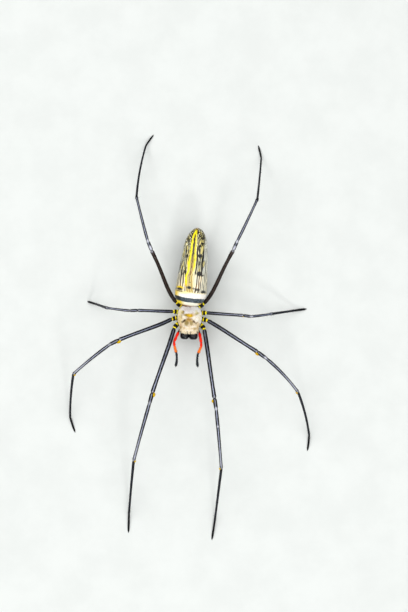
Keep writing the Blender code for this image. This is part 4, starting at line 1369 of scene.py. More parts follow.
def make_eyes(shop):
    """Eight domed eyes of dark glass, set in the skin."""
    for name, place, angle, radius in EYES:
        for side, sign in SIDES.items():
            turn = math.radians(angle if sign > 0 else 180 - angle)
            seat, normal = carapace_normal(place, turn)
            centre = seat + normal * (EYE_STANDS_OUT + CARAPACE_COAT)
            axis = unit(normal)
            side_way = unit(np.cross(axis, (0.0, 0.0, 1.0)))
            other = np.cross(axis, side_way)
            ball = pebble(centre, -axis, side_way, other, radius, radius)
            mesh = moulded(ball, 24, 16, body_matrix())
            shop.dress(
                f"{name}_eye_{side}", mesh, "eye_glass", "eye_glass", [f"eye_{name}_{side}"]
            )


# The soft skin at the sides starts at this place along the carapace and takes up this
# share of it
SIDE_SKIN_START = 0.22
SIDE_SKIN_SHARE = 0.74
SIDE_SKIN_Z = 9.0


def side_skin_shape(t, angle):
    """The soft dark skin between the carapace, the legs' roots and the sternum."""
    place = SIDE_SKIN_START + SIDE_SKIN_SHARE * t
    half = np.maximum(carapace_half_width(place) - 0.55, 0.2)
    half = half * blunt(t / 0.10, 2.2) * blunt((1 - t) / 0.12, 2.2)
    up = np.sin(angle)
    narrower = 1 - 0.42 * np.maximum(-up, 0) ** 1.4
    creases = 1 + 0.02 * np.sin(angle * 22 + 5 * np.sin(t * 19))
    x = half * np.cos(angle) * narrower * creases
    rise = np.where(up < 0, 2.0, 0.95) * up
    z = SIDE_SKIN_Z + rise * blunt(t / 0.10, 2.2) * blunt((1 - t) / 0.12, 2.2)
    return x, CARAPACE_FRONT + place * CARAPACE_LENGTH, z


def sternum_shape(t, angle):
    """A shield between the legs' roots, broad in front and pointed behind."""
    shield = 1 - 0.62 * smoothstep(0.25, 1.0, t)
    half = STERNUM_HALF_WIDTH * shield * blunt(t / 0.3, 2.6) * blunt((1 - t) / 0.3, 2)
    scallops = 1 + 0.07 * np.cos((t * 4 - 0.05) * 2 * math.pi)
    deep = STERNUM_HALF_HEIGHT * blunt(t / 0.2, 3) * blunt((1 - t) / 0.25, 3)
    x = half * scallops * signed_power(np.cos(angle), 0.7)
    lumps = 0.14 * np.exp(-(((np.abs(x) - half * 0.62) / 0.5) ** 2))
    lumps = lumps * np.cos((t * 4 - 0.05) * 2 * math.pi) * (np.sin(angle) < 0)
    rise = (deep - 0.05) * signed_power(np.sin(angle), 0.7)
    z = STERNUM_Z + rise - lumps * blunt(t / 0.2, 2)
    return x, STERNUM_FRONT + t * STERNUM_LENGTH, z


def sternum_extras(t, angle, place):
    """Hair grows on the underside alone."""
    return {"growth": (np.sin(angle) < -0.1).astype(float)}


def make_underside(shop):
    matrix = body_matrix()
    mesh = moulded(side_skin_shape, 120, 60, matrix)
    shop.dress("side_skin", mesh, "soft_skin", "belly_horn")
    mesh = moulded(sternum_shape, 96, 72, matrix, sternum_extras)
    hair = dict(density=5.0, length=0.6, width=0.03, lift=30, seed=6)
    coats = {"sternum_hair": ("pale_bristle", "spine", hair)}
    shop.dress("sternum_plate", mesh, "plate_horn", "belly_horn", ["sternum"], coats)
    make_mouth(shop, matrix)
    make_pedicel(shop)


# Mouthparts: each maxilla's middle and half sizes, and the lip between them
MAXILLA = ((1.30, 3.85, 7.2), (0.95, 1.15, 1.45))
LIP = ((0.0, 4.35, 6.9), (0.62, 0.75, 1.1))


def lobe(middle, half, sign, lean):
    """A function for one rounded lobe of the mouth, blunt in front."""

    def shape(t, angle):
        ring = blunt(t / 0.35, 2.4) * blunt((1 - t) / 0.45, 2.2)
        x = half[0] * ring * signed_power(np.cos(angle), 0.85)
        y = half[1] * (2 * t - 1)
        z = half[2] * ring * signed_power(np.sin(angle), 0.85)
        dent = 0.12 * np.exp(-((x / 0.22) ** 2)) * (np.sin(angle) < 0)
        return sign * (middle[0] + x + lean * (t - 0.5)), middle[1] + y, middle[2] + z + dent

    return shape


def make_mouth(shop, matrix):
    for side, sign in SIDES.items():
        mesh = moulded(lobe(*MAXILLA, sign, 0.35), 40, 28, matrix)
        replaced = ["mouthparts"] if side == "left" else []
        fringe = dict(density=12.0, length=0.42, width=0.03, lift=35, seed=7)
        coats = {f"maxilla_fringe_{side}": ("pale_bristle", "spine", fringe)}
        shop.dress(f"maxilla_{side}", mesh, "mouth_horn", "belly_horn", replaced, coats)
    mesh = moulded(lobe(*LIP, 1, 0.0), 32, 24, matrix)
    shop.dress("lip", mesh, "mouth_horn", "belly_horn")


def make_pedicel(shop):
    """The narrow ringed waist between thorax and abdomen."""
    at = np.linspace(0, 1, 40)
    knots = np.linspace(0, 1, len(PEDICEL_STATIONS))
    y, z, radius = [
        smooth_curve(list(zip(knots, column)), at) for column in zip(*PEDICEL_STATIONS)
    ]
    rings = 1 + 0.03 * np.sin(at * 60)
    points = np.array([body_point(0, *place) for place in zip(y, z)])
    mesh = shop.tube_mesh(points, radius * rings, 32, "soft_skin")
    shop.dress("waist", mesh, "soft_skin", "belly_horn", ["pedicel"])


# The jaws touch: each is this much wider and nearer the middle than its solid
JAW_SWELLS = 0.20
JAW_NEARER = 0.05


def chelicera_shape(t, angle):
    """One stout jaw, from its top at t = 0 down to the fang, bulging at the front."""
    ends = blunt(t / 0.30, 2.4) * blunt((1 - t) / 0.30, 2.2)
    narrowing = 1 - 0.24 * smoothstep(0.55, 1.0, t)
    half = (CHELICERA_HALF_WIDTH + JAW_SWELLS) * narrowing * ends
    x = half * signed_power(np.cos(angle), 0.62)
    depth = CHELICERA_HALF_DEPTH * (1 - 0.30 * smoothstep(0.35, 1.0, t)) * ends
    y = CHELICERA_Y + depth * signed_power(np.sin(angle), 0.85)
    y = y - 0.15 * smoothstep(0.5, 1.0, t)
    furrow = np.exp(-(((angle - math.pi / 2) / 0.35) ** 2)) * smoothstep(0.70, 0.95, t)
    y = y - 0.18 * furrow
    z = CHELICERA_TOP + (CHELICERA_BOTTOM - CHELICERA_TOP) * t
    return x, y, z


def make_jaws(shop):
    for side, sign in SIDES.items():
        place = Matrix.Translation(Vector((sign * (CHELICERA_OUT - JAW_NEARER), 0, 0)) * MM)
        mesh = moulded(chelicera_shape, 64, 56, body_matrix() @ place, jaw_extras)
        hair = dict(density=9.0, length=0.55, width=0.03, lift=22, seed=8)
        coats = {f"jaw_hair_{side}": ("spine_horn", "spine", hair)}
        solids = [f"chelicera_{side}"]
        shop.dress(f"jaw_{side}", mesh, "jaw_horn", "black_horn", solids, coats)
        make_fang(shop, side, sign)


def jaw_extras(t, angle, place):
    """Bristles stand on the front of the lower half of the jaw, and along its furrow."""
    front = np.clip(-np.sin(angle) * 2, 0, 1) * smoothstep(0.35, 0.6, t)
    furrow = np.exp(-(((angle - math.pi / 2) / 0.5) ** 2)) * smoothstep(0.6, 0.8, t)
    return {"growth": np.maximum(front, furrow)}


def make_fang(shop, side, sign):
    at = np.linspace(0, 1, 36)
    knots = np.linspace(0, 1, len(FANG_STATIONS))
    columns = zip(*[(*place, radius) for place, radius in FANG_STATIONS])
    out, y, z, radius = [smooth_curve(list(zip(knots, column)), at) for column in columns]
    points = np.array([body_point(sign * a, b, c) for a, b, c in zip(out, y, z)])
    mesh = shop.tube_mesh(points, radius, 20, "fang_horn")
    shop.dress(f"fang_point_{side}", mesh, "fang_horn", "black_horn", [f"fang_{side}"])


def segment_run(start, heading, length, end_z, side, bow, skew=1.0):
    """A function giving points at shares of one segment, and its end, as the solids."""
    rise = end_z - start[2]
    plan = math.sqrt(length**2 - rise**2)
    sign = SIDES[side]
    turn = math.radians(heading)
    ahead = np.array([sign * math.sin(turn), math.cos(turn), 0.0])
    outward = np.array([-ahead[1], ahead[0], 0.0])
    if outward[0] * sign < 0:
        outward = -outward
    end = start + ahead * plan + np.array([0, 0, rise])
    peak = (1 / (1 + skew)) * (skew / (1 + skew)) ** skew

    def at(share):
        sideways = bow * share * (1 - share) ** skew / peak
        return start + (end - start) * share[:, None] + outward * sideways[:, None]

    return at, end


# Stations lie this close together on the legs' long segments, and on roots and palps
LEG_STEP = 0.42
FINE_STEP = 0.14


def joint_shares(length, step):
    """Shares along a segment, set closer together near its two joints."""
    count = max(int(length / step), 6)
    even = np.linspace(0, 1, count + 1)
    return 0.55 * even + 0.45 * (1 - np.cos(math.pi * even)) / 2


class Limb:
    """Collects the stations of a leg or a palp from its root to its tip."""

    def __init__(self):
        self.points = []
        self.radii = []
        self.segments = []
        self.ends = []

    def add(self, name, points, radii):
        if self.points:
            points, radii = points[1:], radii[1:]
        self.points.extend(points)
        self.radii.extend(radii)
        self.segments.extend([name] * len(points))
        self.ends.append(float(steps_between(self.points).sum()))

    def reached(self):
        return way_along(self.points)


def near(reached, place, spread):
    """1 at this distance along a limb, falling to 0 over the spread."""
    return np.exp(-(((reached - place) / spread) ** 4))


def leg_stations(side, pair):
    """All stations of one leg, from the inner end of its coxa to its foot."""
    sign = SIDES[side]
    inner, ring, outer = [
        body_point(sign * out, y, z) for (out, y), z in zip(COXAE[pair], COXA_HEIGHTS)
    ]
    leg = Limb()
    for name, start, end, profile in (
        ("coxa", inner, ring, COXA_PROFILE), ("trochanter", ring, outer, TROCHANTER_PROFILE),
    ):
        share = joint_shares(np.linalg.norm(end - start), FINE_STEP)
        leg.add(name, start + (end - start) * share[:, None], smooth_curve(profile, share))
    headings, heights = STANCE[side, pair]
    start = outer
    for number, segment in enumerate(SEGMENTS):
        at, end = segment_run(
            start, headings[number], LENGTHS[pair][number], (*heights, FOOT_TIP_Z)[number],
            side, BOWS[side, pair][number], skew=3.0 if segment == "femur" else 1.0,
        )
        share = joint_shares(LENGTHS[pair][number], LEG_STEP)
        radii = smooth_curve(PROFILES[segment], share) * RADII[pair][number]
        leg.add(segment, at(share), radii)
        start = end
    return leg


# Width of the yellow rings at the leg's root
RING_SPREAD = 0.33

# The horn lies over the solids' legs by this much, by more on each pair's feet, and
# swells at the end of the shin
LEG_CUTICLE = 0.02
FOOT_SWELLS = {1: 0.07, 2: 0.07, 3: 0.14, 4: 0.025}
TOE_SWELLS = 0.05
SHIN_END_SWELLS = {1: 0.06, 2: 0.08, 3: 0.18, 4: 0.20}

# How strong the painted highlight along the upper side of each segment is: a pale line that
# stands in for the reflection of the light
PAINTED_HIGHLIGHT_LINE = {
    "coxa": 0.0, "trochanter": 0.0, "femur": 1.0, "patella": 0.75, "tibia": 1.0,
    "metatarsus": 0.12, "tarsus": 0.0,
}
# On the brown rear femora the painted highlight line is weaker
BRONZE_PAINTED_HIGHLIGHT_LINE = 0.25

# How brown the roots of the legs are, as a share of the rear femora
ROOT_BRONZE = 0.25

# How strong the painted highlight at the patella's end is, and on which legs it is weaker
PAINTED_KNEE_HIGHLIGHT = 0.9
PAINTED_KNEE_HIGHLIGHTS = {("right", 1): 0.5, ("right", 2): 0.45, ("right", 3): 0.2}

# Where else a highlight is painted at the joints: number of the joint, way past it, spread,
# strength
PAINTED_JOINT_HIGHLIGHTS = ((2, -0.30, 0.20, 0.60), (4, -0.25, 0.25, 0.45))
REAR_PAINTED_JOINT_HIGHLIGHTS = ((2, -0.30, 0.20, 0.60), (2, 1.2, 1.0, 0.9))
# How strong the painted highlight towards the end of the front legs' shins is
PAINTED_SHIN_HIGHLIGHT = 0.30

# One shin has a painted highlight spot as well, a glint this far past the end of its patella
PAINTED_SHIN_GLINTS = {("left", 1): 7.4}

# Yellow pads of the legs: number of the joint, way past it, half length and half width
JOINT_PADS = {
    ("left", 1): ((2, 1.05, 0.74, 0.62), (4, 0.20, 0.60, 0.50)),
    ("left", 2): ((2, 0.30, 1.10, 0.70), (4, 0.15, 0.66, 0.54)),
    ("right", 1): ((2, 0.60, 0.96, 0.76), (4, 0.20, 0.62, 0.50)),
    ("right", 2): ((2, 0.25, 1.12, 0.76), (4, 0.15, 0.66, 0.56)),
    ("left", 3): ((2, 0.10, 0.36, 0.30),),
}
PAD_OUT = 0.95
PAD_DOWN = 0.10

# Spines of a leg segment: shares along it, angles round it from its upper side, length
LEG_SPINES = {
    "femur": ((0.22, 0.45, 0.66, 0.85), (-70, 0, 70), 1.5),
    "patella": ((0.35, 0.9), (-40, 40), 1.2),
    "tibia": ((0.12, 0.32, 0.52, 0.72, 0.92), (-100, -35, 35, 100), 1.7),
    "metatarsus": ((0.06, 0.22, 0.40, 0.60, 0.80, 0.96), (-110, -40, 40, 110), 1.1),
}
HAIRINESS = {
    "coxa": 0.7, "trochanter": 0.6, "femur": 0.55, "patella": 0.6, "tibia": 0.8,
    "metatarsus": 1.1, "tarsus": 1.9,
}


def leg_values(leg, side, pair):
    """What each station of a leg keeps: its rings, its painted highlights, a line along the
    top and pale spots at the joints, how brown it is and how its hair grows."""
    reached = leg.reached()
    names = np.array(leg.segments)
    rings = np.maximum(
        near(reached, leg.ends[0], RING_SPREAD), near(reached, leg.ends[1], RING_SPREAD)
    )
    # line: how strong the painted highlight along the upper side is at each station
    line = np.array([PAINTED_HIGHLIGHT_LINE[name] for name in leg.segments])
    if pair == 4:
        line = np.where(names == "femur", BRONZE_PAINTED_HIGHLIGHT_LINE, line)
    thigh = (reached - leg.ends[1]) / (leg.ends[2] - leg.ends[1])
    growing = 0.35 + 0.60 * smoothstep(0.1, 0.75, thigh) + 0.30 * smoothstep(0.7, 0.95, thigh)
    line = line * np.where(names == "femur", growing, 1.0)
    for end in leg.ends[1:6]:
        line = line * (1 - near(reached, end, 0.55))
    # knee: painted highlight spots at the joints, pale where the light would glint
    pale = PAINTED_KNEE_HIGHLIGHTS.get((side, pair), PAINTED_KNEE_HIGHLIGHT)
    knee = pale * near(reached, leg.ends[3] + 0.1, 0.60)
    for joint, past, spread, strength in REAR_PAINTED_JOINT_HIGHLIGHTS if pair == 4 else PAINTED_JOINT_HIGHLIGHTS:
        knee = np.maximum(knee, strength * near(reached, leg.ends[joint] + past, spread))
    # The shins of the front legs get a painted highlight towards their ends
    if pair in (1, 2):
        shin = (reached - leg.ends[3]) / (leg.ends[4] - leg.ends[3])
        shin_highlight = smoothstep(0.40, 0.88, shin) * (1 - smoothstep(0.94, 0.99, shin))
        knee = np.maximum(knee, PAINTED_SHIN_HIGHLIGHT * shin_highlight)
    if (side, pair) in PAINTED_SHIN_GLINTS:
        knee = np.maximum(knee, near(reached, leg.ends[3] + PAINTED_SHIN_GLINTS[side, pair], 0.28))
    bronze = np.where((names == "femur") & (pair == 4), 1.0, 0.0)
    bronze = np.where(np.isin(names, ["coxa", "trochanter"]), ROOT_BRONZE, bronze)
    return {
        "joint": np.stack([rings, line, knee], axis=1),
        "bronze": bronze,
        "growth": np.array([HAIRINESS[name] for name in leg.segments]),
        "reach": np.where(names == "tarsus", 0.7, 1.0),
    }


def swell_foot(leg, pair):
    """The leg's skin is a little thicker than its solid from the end of the shin on."""
    reached = leg.reached()
    foot = smoothstep(leg.ends[4] - 0.3, leg.ends[4] + 0.6, reached)
    tip = smoothstep(leg.ends[6] - 1.1, leg.ends[6] - 0.15, reached)
    toe = smoothstep(leg.ends[5] + 0.5, leg.ends[6] - 1.5, reached)
    knob = near(reached, leg.ends[4] - 0.1, 0.55)
    swells = (foot * FOOT_SWELLS[pair] + toe * TOE_SWELLS) * (1 - tip)
    leg.radii = np.array(leg.radii) + swells + knob * SHIN_END_SWELLS[pair]


def make_leg(shop, side, pair):
    leg = leg_stations(side, pair)
    swell_foot(leg, pair)
    points, radii = np.array(leg.points), np.array(leg.radii)
    values = leg_values(leg, side, pair)
    mesh = shop.tube_mesh(points, radii + LEG_CUTICLE, 24, "leg_horn", values)
    keep_above_floor(mesh)
    name = f"leg_{side}_{pair}"
    solids = [f"{name}_{part}" for part in ("coxa", "femur", "tibia", "foot")]
    hair = dict(density=9.0, length=0.33, width=0.024, lift=17, spread=14, seed=10 + pair)
    coats = {f"{name}_hair": ("leg_bristle", "down", hair)}
    shop.dress(f"{name}_skin", mesh, "leg_horn", "leg_black", solids, coats)
    if (side, pair) in JOINT_PADS:
        make_joint_pads(shop, name, leg, SIDES[side], JOINT_PADS[side, pair])
    make_leg_spines(shop, name, leg)
    make_claws(shop, name, points)


def make_joint_pads(shop, name, leg, sign, pads):
    """Swollen yellow pads on the inner side of the knee and of the next joint."""
    points, radii = np.array(leg.points), np.array(leg.radii)
    reached = leg.reached()
    meshes = []
    for joint, past, half_length, half_width in pads:
        number = int(np.argmin(np.abs(reached - leg.ends[joint] - past)))
        ahead = unit(points[number + 1] - points[number - 1])
        side_way = unit(np.cross(ahead, (0, 0, 1.0))) * sign
        upward = np.cross(side_way, ahead) * sign
        centre = points[number] + (side_way * PAD_OUT - upward * PAD_DOWN) * radii[number]
        pad = pebble(centre, ahead, side_way, upward, half_length, half_width)
        meshes.append(moulded(pad, 24, 18, Matrix.Identity(4)))
    shop.dress(f"{name}_pads", join_meshes("pads", meshes), "joint_pad", "leg_black")


FLOOR_GAP = 0.02


def keep_above_floor(mesh):
    """Nothing of a foot or its hair reaches below the floor."""
    places = places_of(mesh)
    places[:, 2] = np.maximum(places[:, 2], FLOOR_GAP * MM)
    mesh.vertices.foreach_set("co", places.ravel())


def make_leg_spines(shop, name, leg):
    """Long thin spines in rows along the leg, leaning to its tip."""
    points, radii = np.array(leg.points), np.array(leg.radii)
    ahead = unit(np.gradient(points, axis=0))
    names = np.array(leg.segments)
    reached = leg.reached()
    roots = []
    for segment, (shares, angles, length) in LEG_SPINES.items():
        own = np.flatnonzero(names == segment)
        for row, share in enumerate(shares):
            number = own[int(share * (len(own) - 1))]
            side_way = unit(np.cross(ahead[number], (0, 0, 1.0)))
            upward = np.cross(side_way, ahead[number])
            for column, angle in enumerate(angles):
                turn = math.radians(angle + 9 * math.sin(5 * row + 3 * column))
                out = upward * math.cos(turn) + side_way * math.sin(turn)
                scale = length * (0.85 + 0.25 * math.sin(7 * row + 2 * column))
                roots.append(
                    (points[number] + out * radii[number] * 0.9, out, ahead[number], scale,
                     turn, reached[number] / reached[-1])
                )
    mesh = bpy.data.meshes.new("spine_roots")
    mesh.from_pydata([tuple(root[0] * MM) for root in roots], [], [])
    turns = np.array([root[4] for root in roots])
    store(mesh, "upward", np.array([root[1] for root in roots]))
    store(mesh, "lie", np.array([root[2] for root in roots]))
    store(mesh, "reach", np.array([root[3] for root in roots]))
    store(mesh, "ring", np.stack([np.cos(turns), np.sin(turns), 0 * turns], axis=1))
    store(mesh, "along", np.array([root[5] for root in roots]))
    shop.coat(
        f"{name}_spines", mesh, "spine_horn", "leg_black", kind="spine", scattered=False,
        length=1.0, width=0.075, lift=38, spread=10, seed=20,
    )


# Claws at a foot: turn out from the foot's heading, lift of the root, length
CLAWS = ((-16.0, 0.10, 0.55), (16.0, 0.10, 0.55), (0.0, 0.02, 0.38))
CLAW_RADIUS = 0.055
CLAW_TAPER = 0.85
CLAW_ROOT_BACK = 0.22
CLAW_ROOT_OUT = 0.25
CLAW_ROOT_Z = 0.16
CLAW_ARCH = 0.16
CLAW_LOWEST = 0.04


def make_claws(shop, name, points):
    """Two long curved claws and a short hook between them, joined as one piece."""
    tip = points[-1]
    ahead = points[-1] - points[-4]
    plan = unit(np.array([ahead[0], ahead[1], 0.0]))
    side_way = np.array([-plan[1], plan[0], 0.0])
    share = np.linspace(0, 1, 9)
    arch = np.sin(share * math.pi * 0.85) * CLAW_ARCH
    thick = CLAW_RADIUS * (1 - CLAW_TAPER * share)
    meshes = []
    for turn, lift, length in CLAWS:
        angle = math.radians(turn)
        heading = plan * math.cos(angle) + side_way * math.sin(angle)
        root = tip - plan * CLAW_ROOT_BACK + side_way * math.sin(angle) * CLAW_ROOT_OUT
        path = root + heading * (share * length)[:, None]
        height = CLAW_ROOT_Z + lift + arch - 0.26 * share**2 - 0.05 * share
        path[:, 2] = np.maximum(height, CLAW_LOWEST)
        meshes.append(shop.tube_mesh(path, thick, 8, "claw_horn"))
    shop.dress(f"{name}_claws", join_meshes("claws", meshes), "claw_horn", "black_horn")


# The root's stations lie as on a run this long, and the tip's skin is this much thicker
PALP_ROOT_RUN = 2.2
PALP_TIP_SWELLS = 0.05
PALP_CLAW_LENGTH = 0.45
PALP_CLAW_RADIUS = 0.06


def palp_ends():
    """How far along a palp, from its root, each of its joints lies."""
    root = math.dist(PALP_ROOT, PALP_BASE)
    return [float(end) for end in np.cumsum((root, *PALP_LENGTHS))]


def make_palp(shop, side):
    sign = SIDES[side]
    root = body_point(sign * PALP_ROOT[0], *PALP_ROOT[1:])
    start = body_point(sign * PALP_BASE[0], *PALP_BASE[1:])
    palp = Limb()
    share = joint_shares(PALP_ROOT_RUN, FINE_STEP)
    points = root + (start - root) * share[:, None]
    palp.add("root", points, smooth_curve(PALP_ROOT_PROFILE, share))
    headings, heights = PALP_STANCE[side]
    for number, (segment, profile) in enumerate(PALP_PROFILES.items()):
        bow = PALP_TIP_BOW if segment == "tarsus" else 0.0
        at, end = segment_run(
            start, headings[number], PALP_LENGTHS[number], heights[number], side, bow
        )
        share = joint_shares(PALP_LENGTHS[number], FINE_STEP)
        palp.add(segment, at(share), smooth_curve(profile, share) * PALP_RADII[number])
        start = end
    points, radii = np.array(palp.points), np.array(palp.radii)
    on_tip = np.isin(palp.segments, ["tarsus"])
    values = {
        "travel": palp.reached(),
        "growth": np.where(np.isin(palp.segments, ["tarsus", "tibia"]), 1.6, 0.8),
        "reach": np.where(on_tip, 1.2, 0.8),
    }
    radii = radii + np.where(on_tip, PALP_TIP_SWELLS, 0.0)
    mesh = shop.tube_mesh(points, radii, 24, "palp_horn", values)
    solids = [f"palp_{side}_arm", f"palp_{side}_tarsus"]
    hair = dict(density=15.0, length=0.48, width=0.024, lift=30, spread=16, seed=31)
    coats = {f"palp_{side}_hair": ("spine_horn", "down", hair)}
    shop.dress(f"palp_{side}_skin", mesh, "palp_horn", "palp_red", solids, coats)
    tip = points[-1]
    ahead = unit(points[-1] - points[-4])
    share = np.linspace(0, 1, 8)
    path = tip - ahead * 0.1 + ahead * (share * PALP_CLAW_LENGTH)[:, None]
    path[:, 2] -= 0.16 * share**2
    claw = shop.tube_mesh(path, PALP_CLAW_RADIUS * (1 - CLAW_TAPER * share), 8, "claw_horn")
    shop.dress(f"palp_{side}_claw", claw, "claw_horn", "black_horn")


def abdomen_half_width(t):
    """Half its width at place t: broad shoulders, a long taper and a blunt tail."""
    past = np.maximum(t - ABDOMEN_WIDEST, 0)
    taper = 1 - ABDOMEN_TAPER * past**ABDOMEN_TAPER_POWER
    shoulder = blunt(t / SHOULDER_LENGTH, SHOULDER_BLUNTNESS)
    tail = blunt((1 - t) / TAIL_LENGTH, TAIL_BLUNTNESS)
    return ABDOMEN_HALF_WIDTH * taper * shoulder * tail


def abdomen_shape(t, angle):
    """The points at places t along the abdomen, front to tail, and angles round it."""
    half = np.maximum(abdomen_half_width(t) - ABDOMEN_COAT, 0)
    overhang = ABDOMEN_OVERHANG * (1 - smoothstep(0.0, 0.25, t))
    droop = TAIL_DROOP * smoothstep(0.75, 1.0, t)
    up = np.sin(angle)
    x = half * signed_power(np.cos(angle), 0.95)
    y = ABDOMEN_COAT + t * (ABDOMEN_LENGTH - 2 * ABDOMEN_COAT)
    z = half * ABDOMEN_FLATNESS * signed_power(up, 0.95) + overhang - droop
    belly = swelling(BELLY_HUMPS, x, t, ABDOMEN_LENGTH) * np.clip(-2 * up, 0, 1)
    folds = np.sin(angle * 46 + 1.6 * np.sin(y * 0.9) + y * 0.35)
    on_flank = np.exp(-(((np.abs(np.cos(angle)) - 0.97) / 0.28) ** 2)) * blunt(t / 0.2, 2)
    z = z - belly
    x = x + np.sign(x) * (0.035 * folds * on_flank * blunt((1 - t) / 0.2, 2) - 0.035)
    pits = 0
    for at_x, at_y, half_x, half_y, _, strength in ABDOMEN_PITS:
        far = ((x - MARKS_ASIDE - at_x) / half_x) ** 2 + ((y - at_y) / half_y) ** 2
        pits = pits + PIT_DEPTH * strength * np.exp(-far)
    z = z - pits * np.clip(2 * up, 0, 1)
    return x, y, z


# Below, each place counts as this far from the stripes, so that none is painted there
FAR_FROM_STRIPES = 9.0
STRIPES_END_Z = -1.0


def abdomen_extras(t, angle, place):
    """Charts of the back: the way round it from its middle line, how far the pattern
    has drawn out along it, and how far each place is from the two stripes."""
    half = abdomen_half_width(t)
    arc = half * (math.pi / 2 - np.where(angle < -math.pi / 2, angle + 2 * math.pi, angle))
    y = place[:, 1]
    drawn = 0.16 * y + 0.50 * np.maximum(y - 25.0, 0) + 0.14 * np.maximum(y - 20.0, 0)
    left = place[:, 0] - MARKS_ASIDE - smooth_curve(STRIPE_LEFT, y)
    right = place[:, 0] - MARKS_ASIDE - smooth_curve(STRIPE_RIGHT, y)
    below = place[:, 2] < STRIPES_END_Z
    left = np.where(below, FAR_FROM_STRIPES, left)
    right = np.where(below, FAR_FROM_STRIPES, right)
    return {
        "chart": np.stack([arc, drawn, 0 * arc], axis=1),
        "stripes": np.stack([left, right, 0 * left], axis=1),
    }


def make_abdomen(shop):
    mesh = moulded(abdomen_shape, 200, 230, abdomen_matrix(), abdomen_extras)
    down = dict(density=11.0, length=0.40, width=0.026, lift=12, spread=20, seed=40)
    long_hair = dict(density=0.9, length=0.75, width=0.026, lift=30, spread=25, seed=41)
    coats = {
        "abdomen_down": ("abdomen_down", "down", down),
        "abdomen_long_hair": ("pale_bristle", "spine", long_hair),
    }
    shop.dress("abdomen_skin", mesh, "abdomen_hide", "striped_hide", ["abdomen"], coats)


def make_spinnerets(shop):
    """A low mound with three pairs of ringed cones and a small lobe behind them."""
    seat = point_on(abdomen_shape, SPINNERET_PLACE, -math.pi / 2)
    half_x, half_y, half_z = SPINNERET_MOUND

    def mound(t, angle):
        along = 2 * t - 1
        ring = np.sqrt(np.clip(1 - along**2, 0, 1))
        creases = 1 + 0.02 * np.sin(angle * 14)
        return (
            seat[0] + half_x * ring * np.cos(angle) * creases,
            seat[1] + half_y * along,
            seat[2] + SPINNERET_MOUND_SUNK + half_z * ring * np.sin(angle) * creases,
        )

    matrix = abdomen_matrix()
    meshes = [moulded(mound, 64, 40, matrix)]
    share = np.linspace(0, 1, 22)
    cones = [
        (sign * out, along, length, radius, lean)
        for out, along, length, radius, lean in SPINNERETS for sign in SIDES.values()
    ]
    for out, along, length, radius, lean in [*cones, SPINNERET_LOBE]:
        root = seat + np.array([out, along, -SPINNERET_ROOT_DOWN])
        tilt = math.radians(lean)
        heading = np.array([0.0, math.sin(tilt), -math.cos(tilt)])
        path = moved(root + heading * ((share - 0.5) * length)[:, None], matrix)
        taper = 1 - (1 - SPINNERET_TAPER) * share
        notch = 1 - 0.16 * np.exp(-(((share - 0.68) / 0.05) ** 2))
        tip = blunt((1 - share) / 0.12 + 0.1, 2)
        radii = radius * taper * notch * tip
        meshes.append(shop.tube_mesh(path, radii, 18, "spinneret_horn"))
    mesh = join_meshes("spinnerets", meshes)
    store_missing(mesh)
    hair = dict(density=16.0, length=0.38, width=0.024, lift=26, seed=50)
    coats = {"spinneret_hair": ("pale_bristle", "spine", hair)}
    shop.dress("spinneret_group", mesh, "spinneret_horn", "belly_horn", ["spinnerets"], coats)


def store_missing(mesh):
    """Gives the values that the coat reads to a mesh that was joined without them."""
    count = len(mesh.vertices)
    for name in ("lie", "ring", "along", "growth", "reach"):
        if name in mesh.attributes:
            mesh.attributes.remove(mesh.attributes[name])
    places = places_of(mesh).astype(float)
    middle = places.mean(axis=0)
    turn = np.arctan2(places[:, 1] - middle[1], places[:, 0] - middle[0])
    high = (places[:, 2] - places[:, 2].min()) / np.ptp(places[:, 2])
    lie = np.tile(moved(np.array([[0.0, 0.6, -0.8]]), abdomen_matrix(), True), (count, 1))
    store(mesh, "lie", lie)
    store(mesh, "ring", np.stack([np.cos(turn), np.sin(turn), 0 * turn], axis=1))
    store(mesh, "along", high)
    store(mesh, "growth", np.ones(count))
    store(mesh, "reach", np.ones(count))


def make_camera():
    """Straight above, with the picture's scale and her tail at its top."""
    camera = bpy.data.objects.new("camera", bpy.data.cameras.new("camera"))
    bpy.context.scene.collection.objects.link(camera)
    camera.location = Vector((*VIEW_MIDDLE, VIEW_HEIGHT)) * MM
    far = VIEW_HEIGHT - VIEW_SUBJECT_Z
    camera.data.sensor_width = SENSOR
    camera.data.lens = SENSOR * far / (PIXEL_SIZE * PICTURE_HEIGHT)
    camera.data.clip_start = 0.01
    camera.data.clip_end = 50.0
    bpy.context.scene.camera = camera


FLOOR_HALF = 3.0


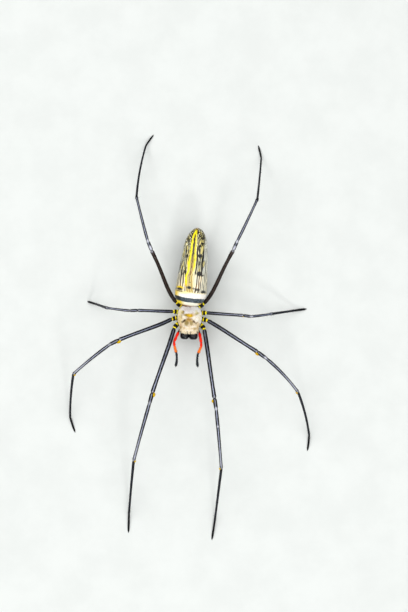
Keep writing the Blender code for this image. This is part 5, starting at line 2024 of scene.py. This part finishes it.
def make_floor():
    """A plain paper floor, 6 metres square."""
    shape = bmesh.new()
    bmesh.ops.create_grid(shape, x_segments=1, y_segments=1, size=FLOOR_HALF)
    mesh = bpy.data.meshes.new("floor")
    shape.to_mesh(mesh)
    shape.free()
    floor = bpy.data.objects.new("floor", mesh)
    bpy.context.scene.collection.objects.link(floor)
    material = bpy.data.materials.new("floor_paper")
    material.use_nodes = True
    board = Board(material.node_tree)
    sockets = material.node_tree.nodes["Principled BSDF"].inputs
    place = board.node("ShaderNodeTexCoord").outputs["Object"]
    tone = board.fade(board.noise(place, 60.0, 4.0, 0.6), 0.3, 0.7)
    colour = board.blend(tone, paint("d7dad7"), paint("dcdfdc"))
    board.feed(sockets["Base Color"], colour)
    board.feed(sockets["Roughness"], 0.85)
    mesh.materials.append(material)


# Lights: name, place, size and strength in watts
LIGHTS = (
    ("overhead_softbox", (0.03, 0.05, 1.30), 2.30, 29.0),
    ("key_softbox", (-0.75, 0.75, 0.85), 0.60, 4.0),
    ("fill_softbox", (0.20, -1.05, 0.75), 0.24, 4.2),
)
LIGHTS_AIM = (0.0, 0.01, 0.0)
WORLD_STRENGTH = 0.20


def make_lights():
    for name, place, size, watts in LIGHTS:
        light = bpy.data.lights.new(name, "AREA")
        light.size = size
        light.energy = watts
        lamp = bpy.data.objects.new(name, light)
        bpy.context.scene.collection.objects.link(lamp)
        lamp.location = place
        aim = Vector(LIGHTS_AIM) - Vector(place)
        lamp.rotation_euler = aim.to_track_quat("-Z", "Y").to_euler()
    world = bpy.data.worlds.new("studio")
    world.use_nodes = True
    background = world.node_tree.nodes["Background"]
    background.inputs["Color"].default_value = paint("f2f5f8")
    background.inputs["Strength"].default_value = WORLD_STRENGTH
    bpy.context.scene.world = world
    bpy.context.scene.view_settings.view_transform = "Standard"


make_camera()
make_floor()
make_lights()
workshop = Workshop()
make_carapace(workshop)
make_eyes(workshop)
make_underside(workshop)
make_jaws(workshop)
for limb_side in SIDES:
    for limb_pair in LENGTHS:
        make_leg(workshop, limb_side, limb_pair)
    make_palp(workshop, limb_side)
make_abdomen(workshop)
make_spinnerets(workshop)
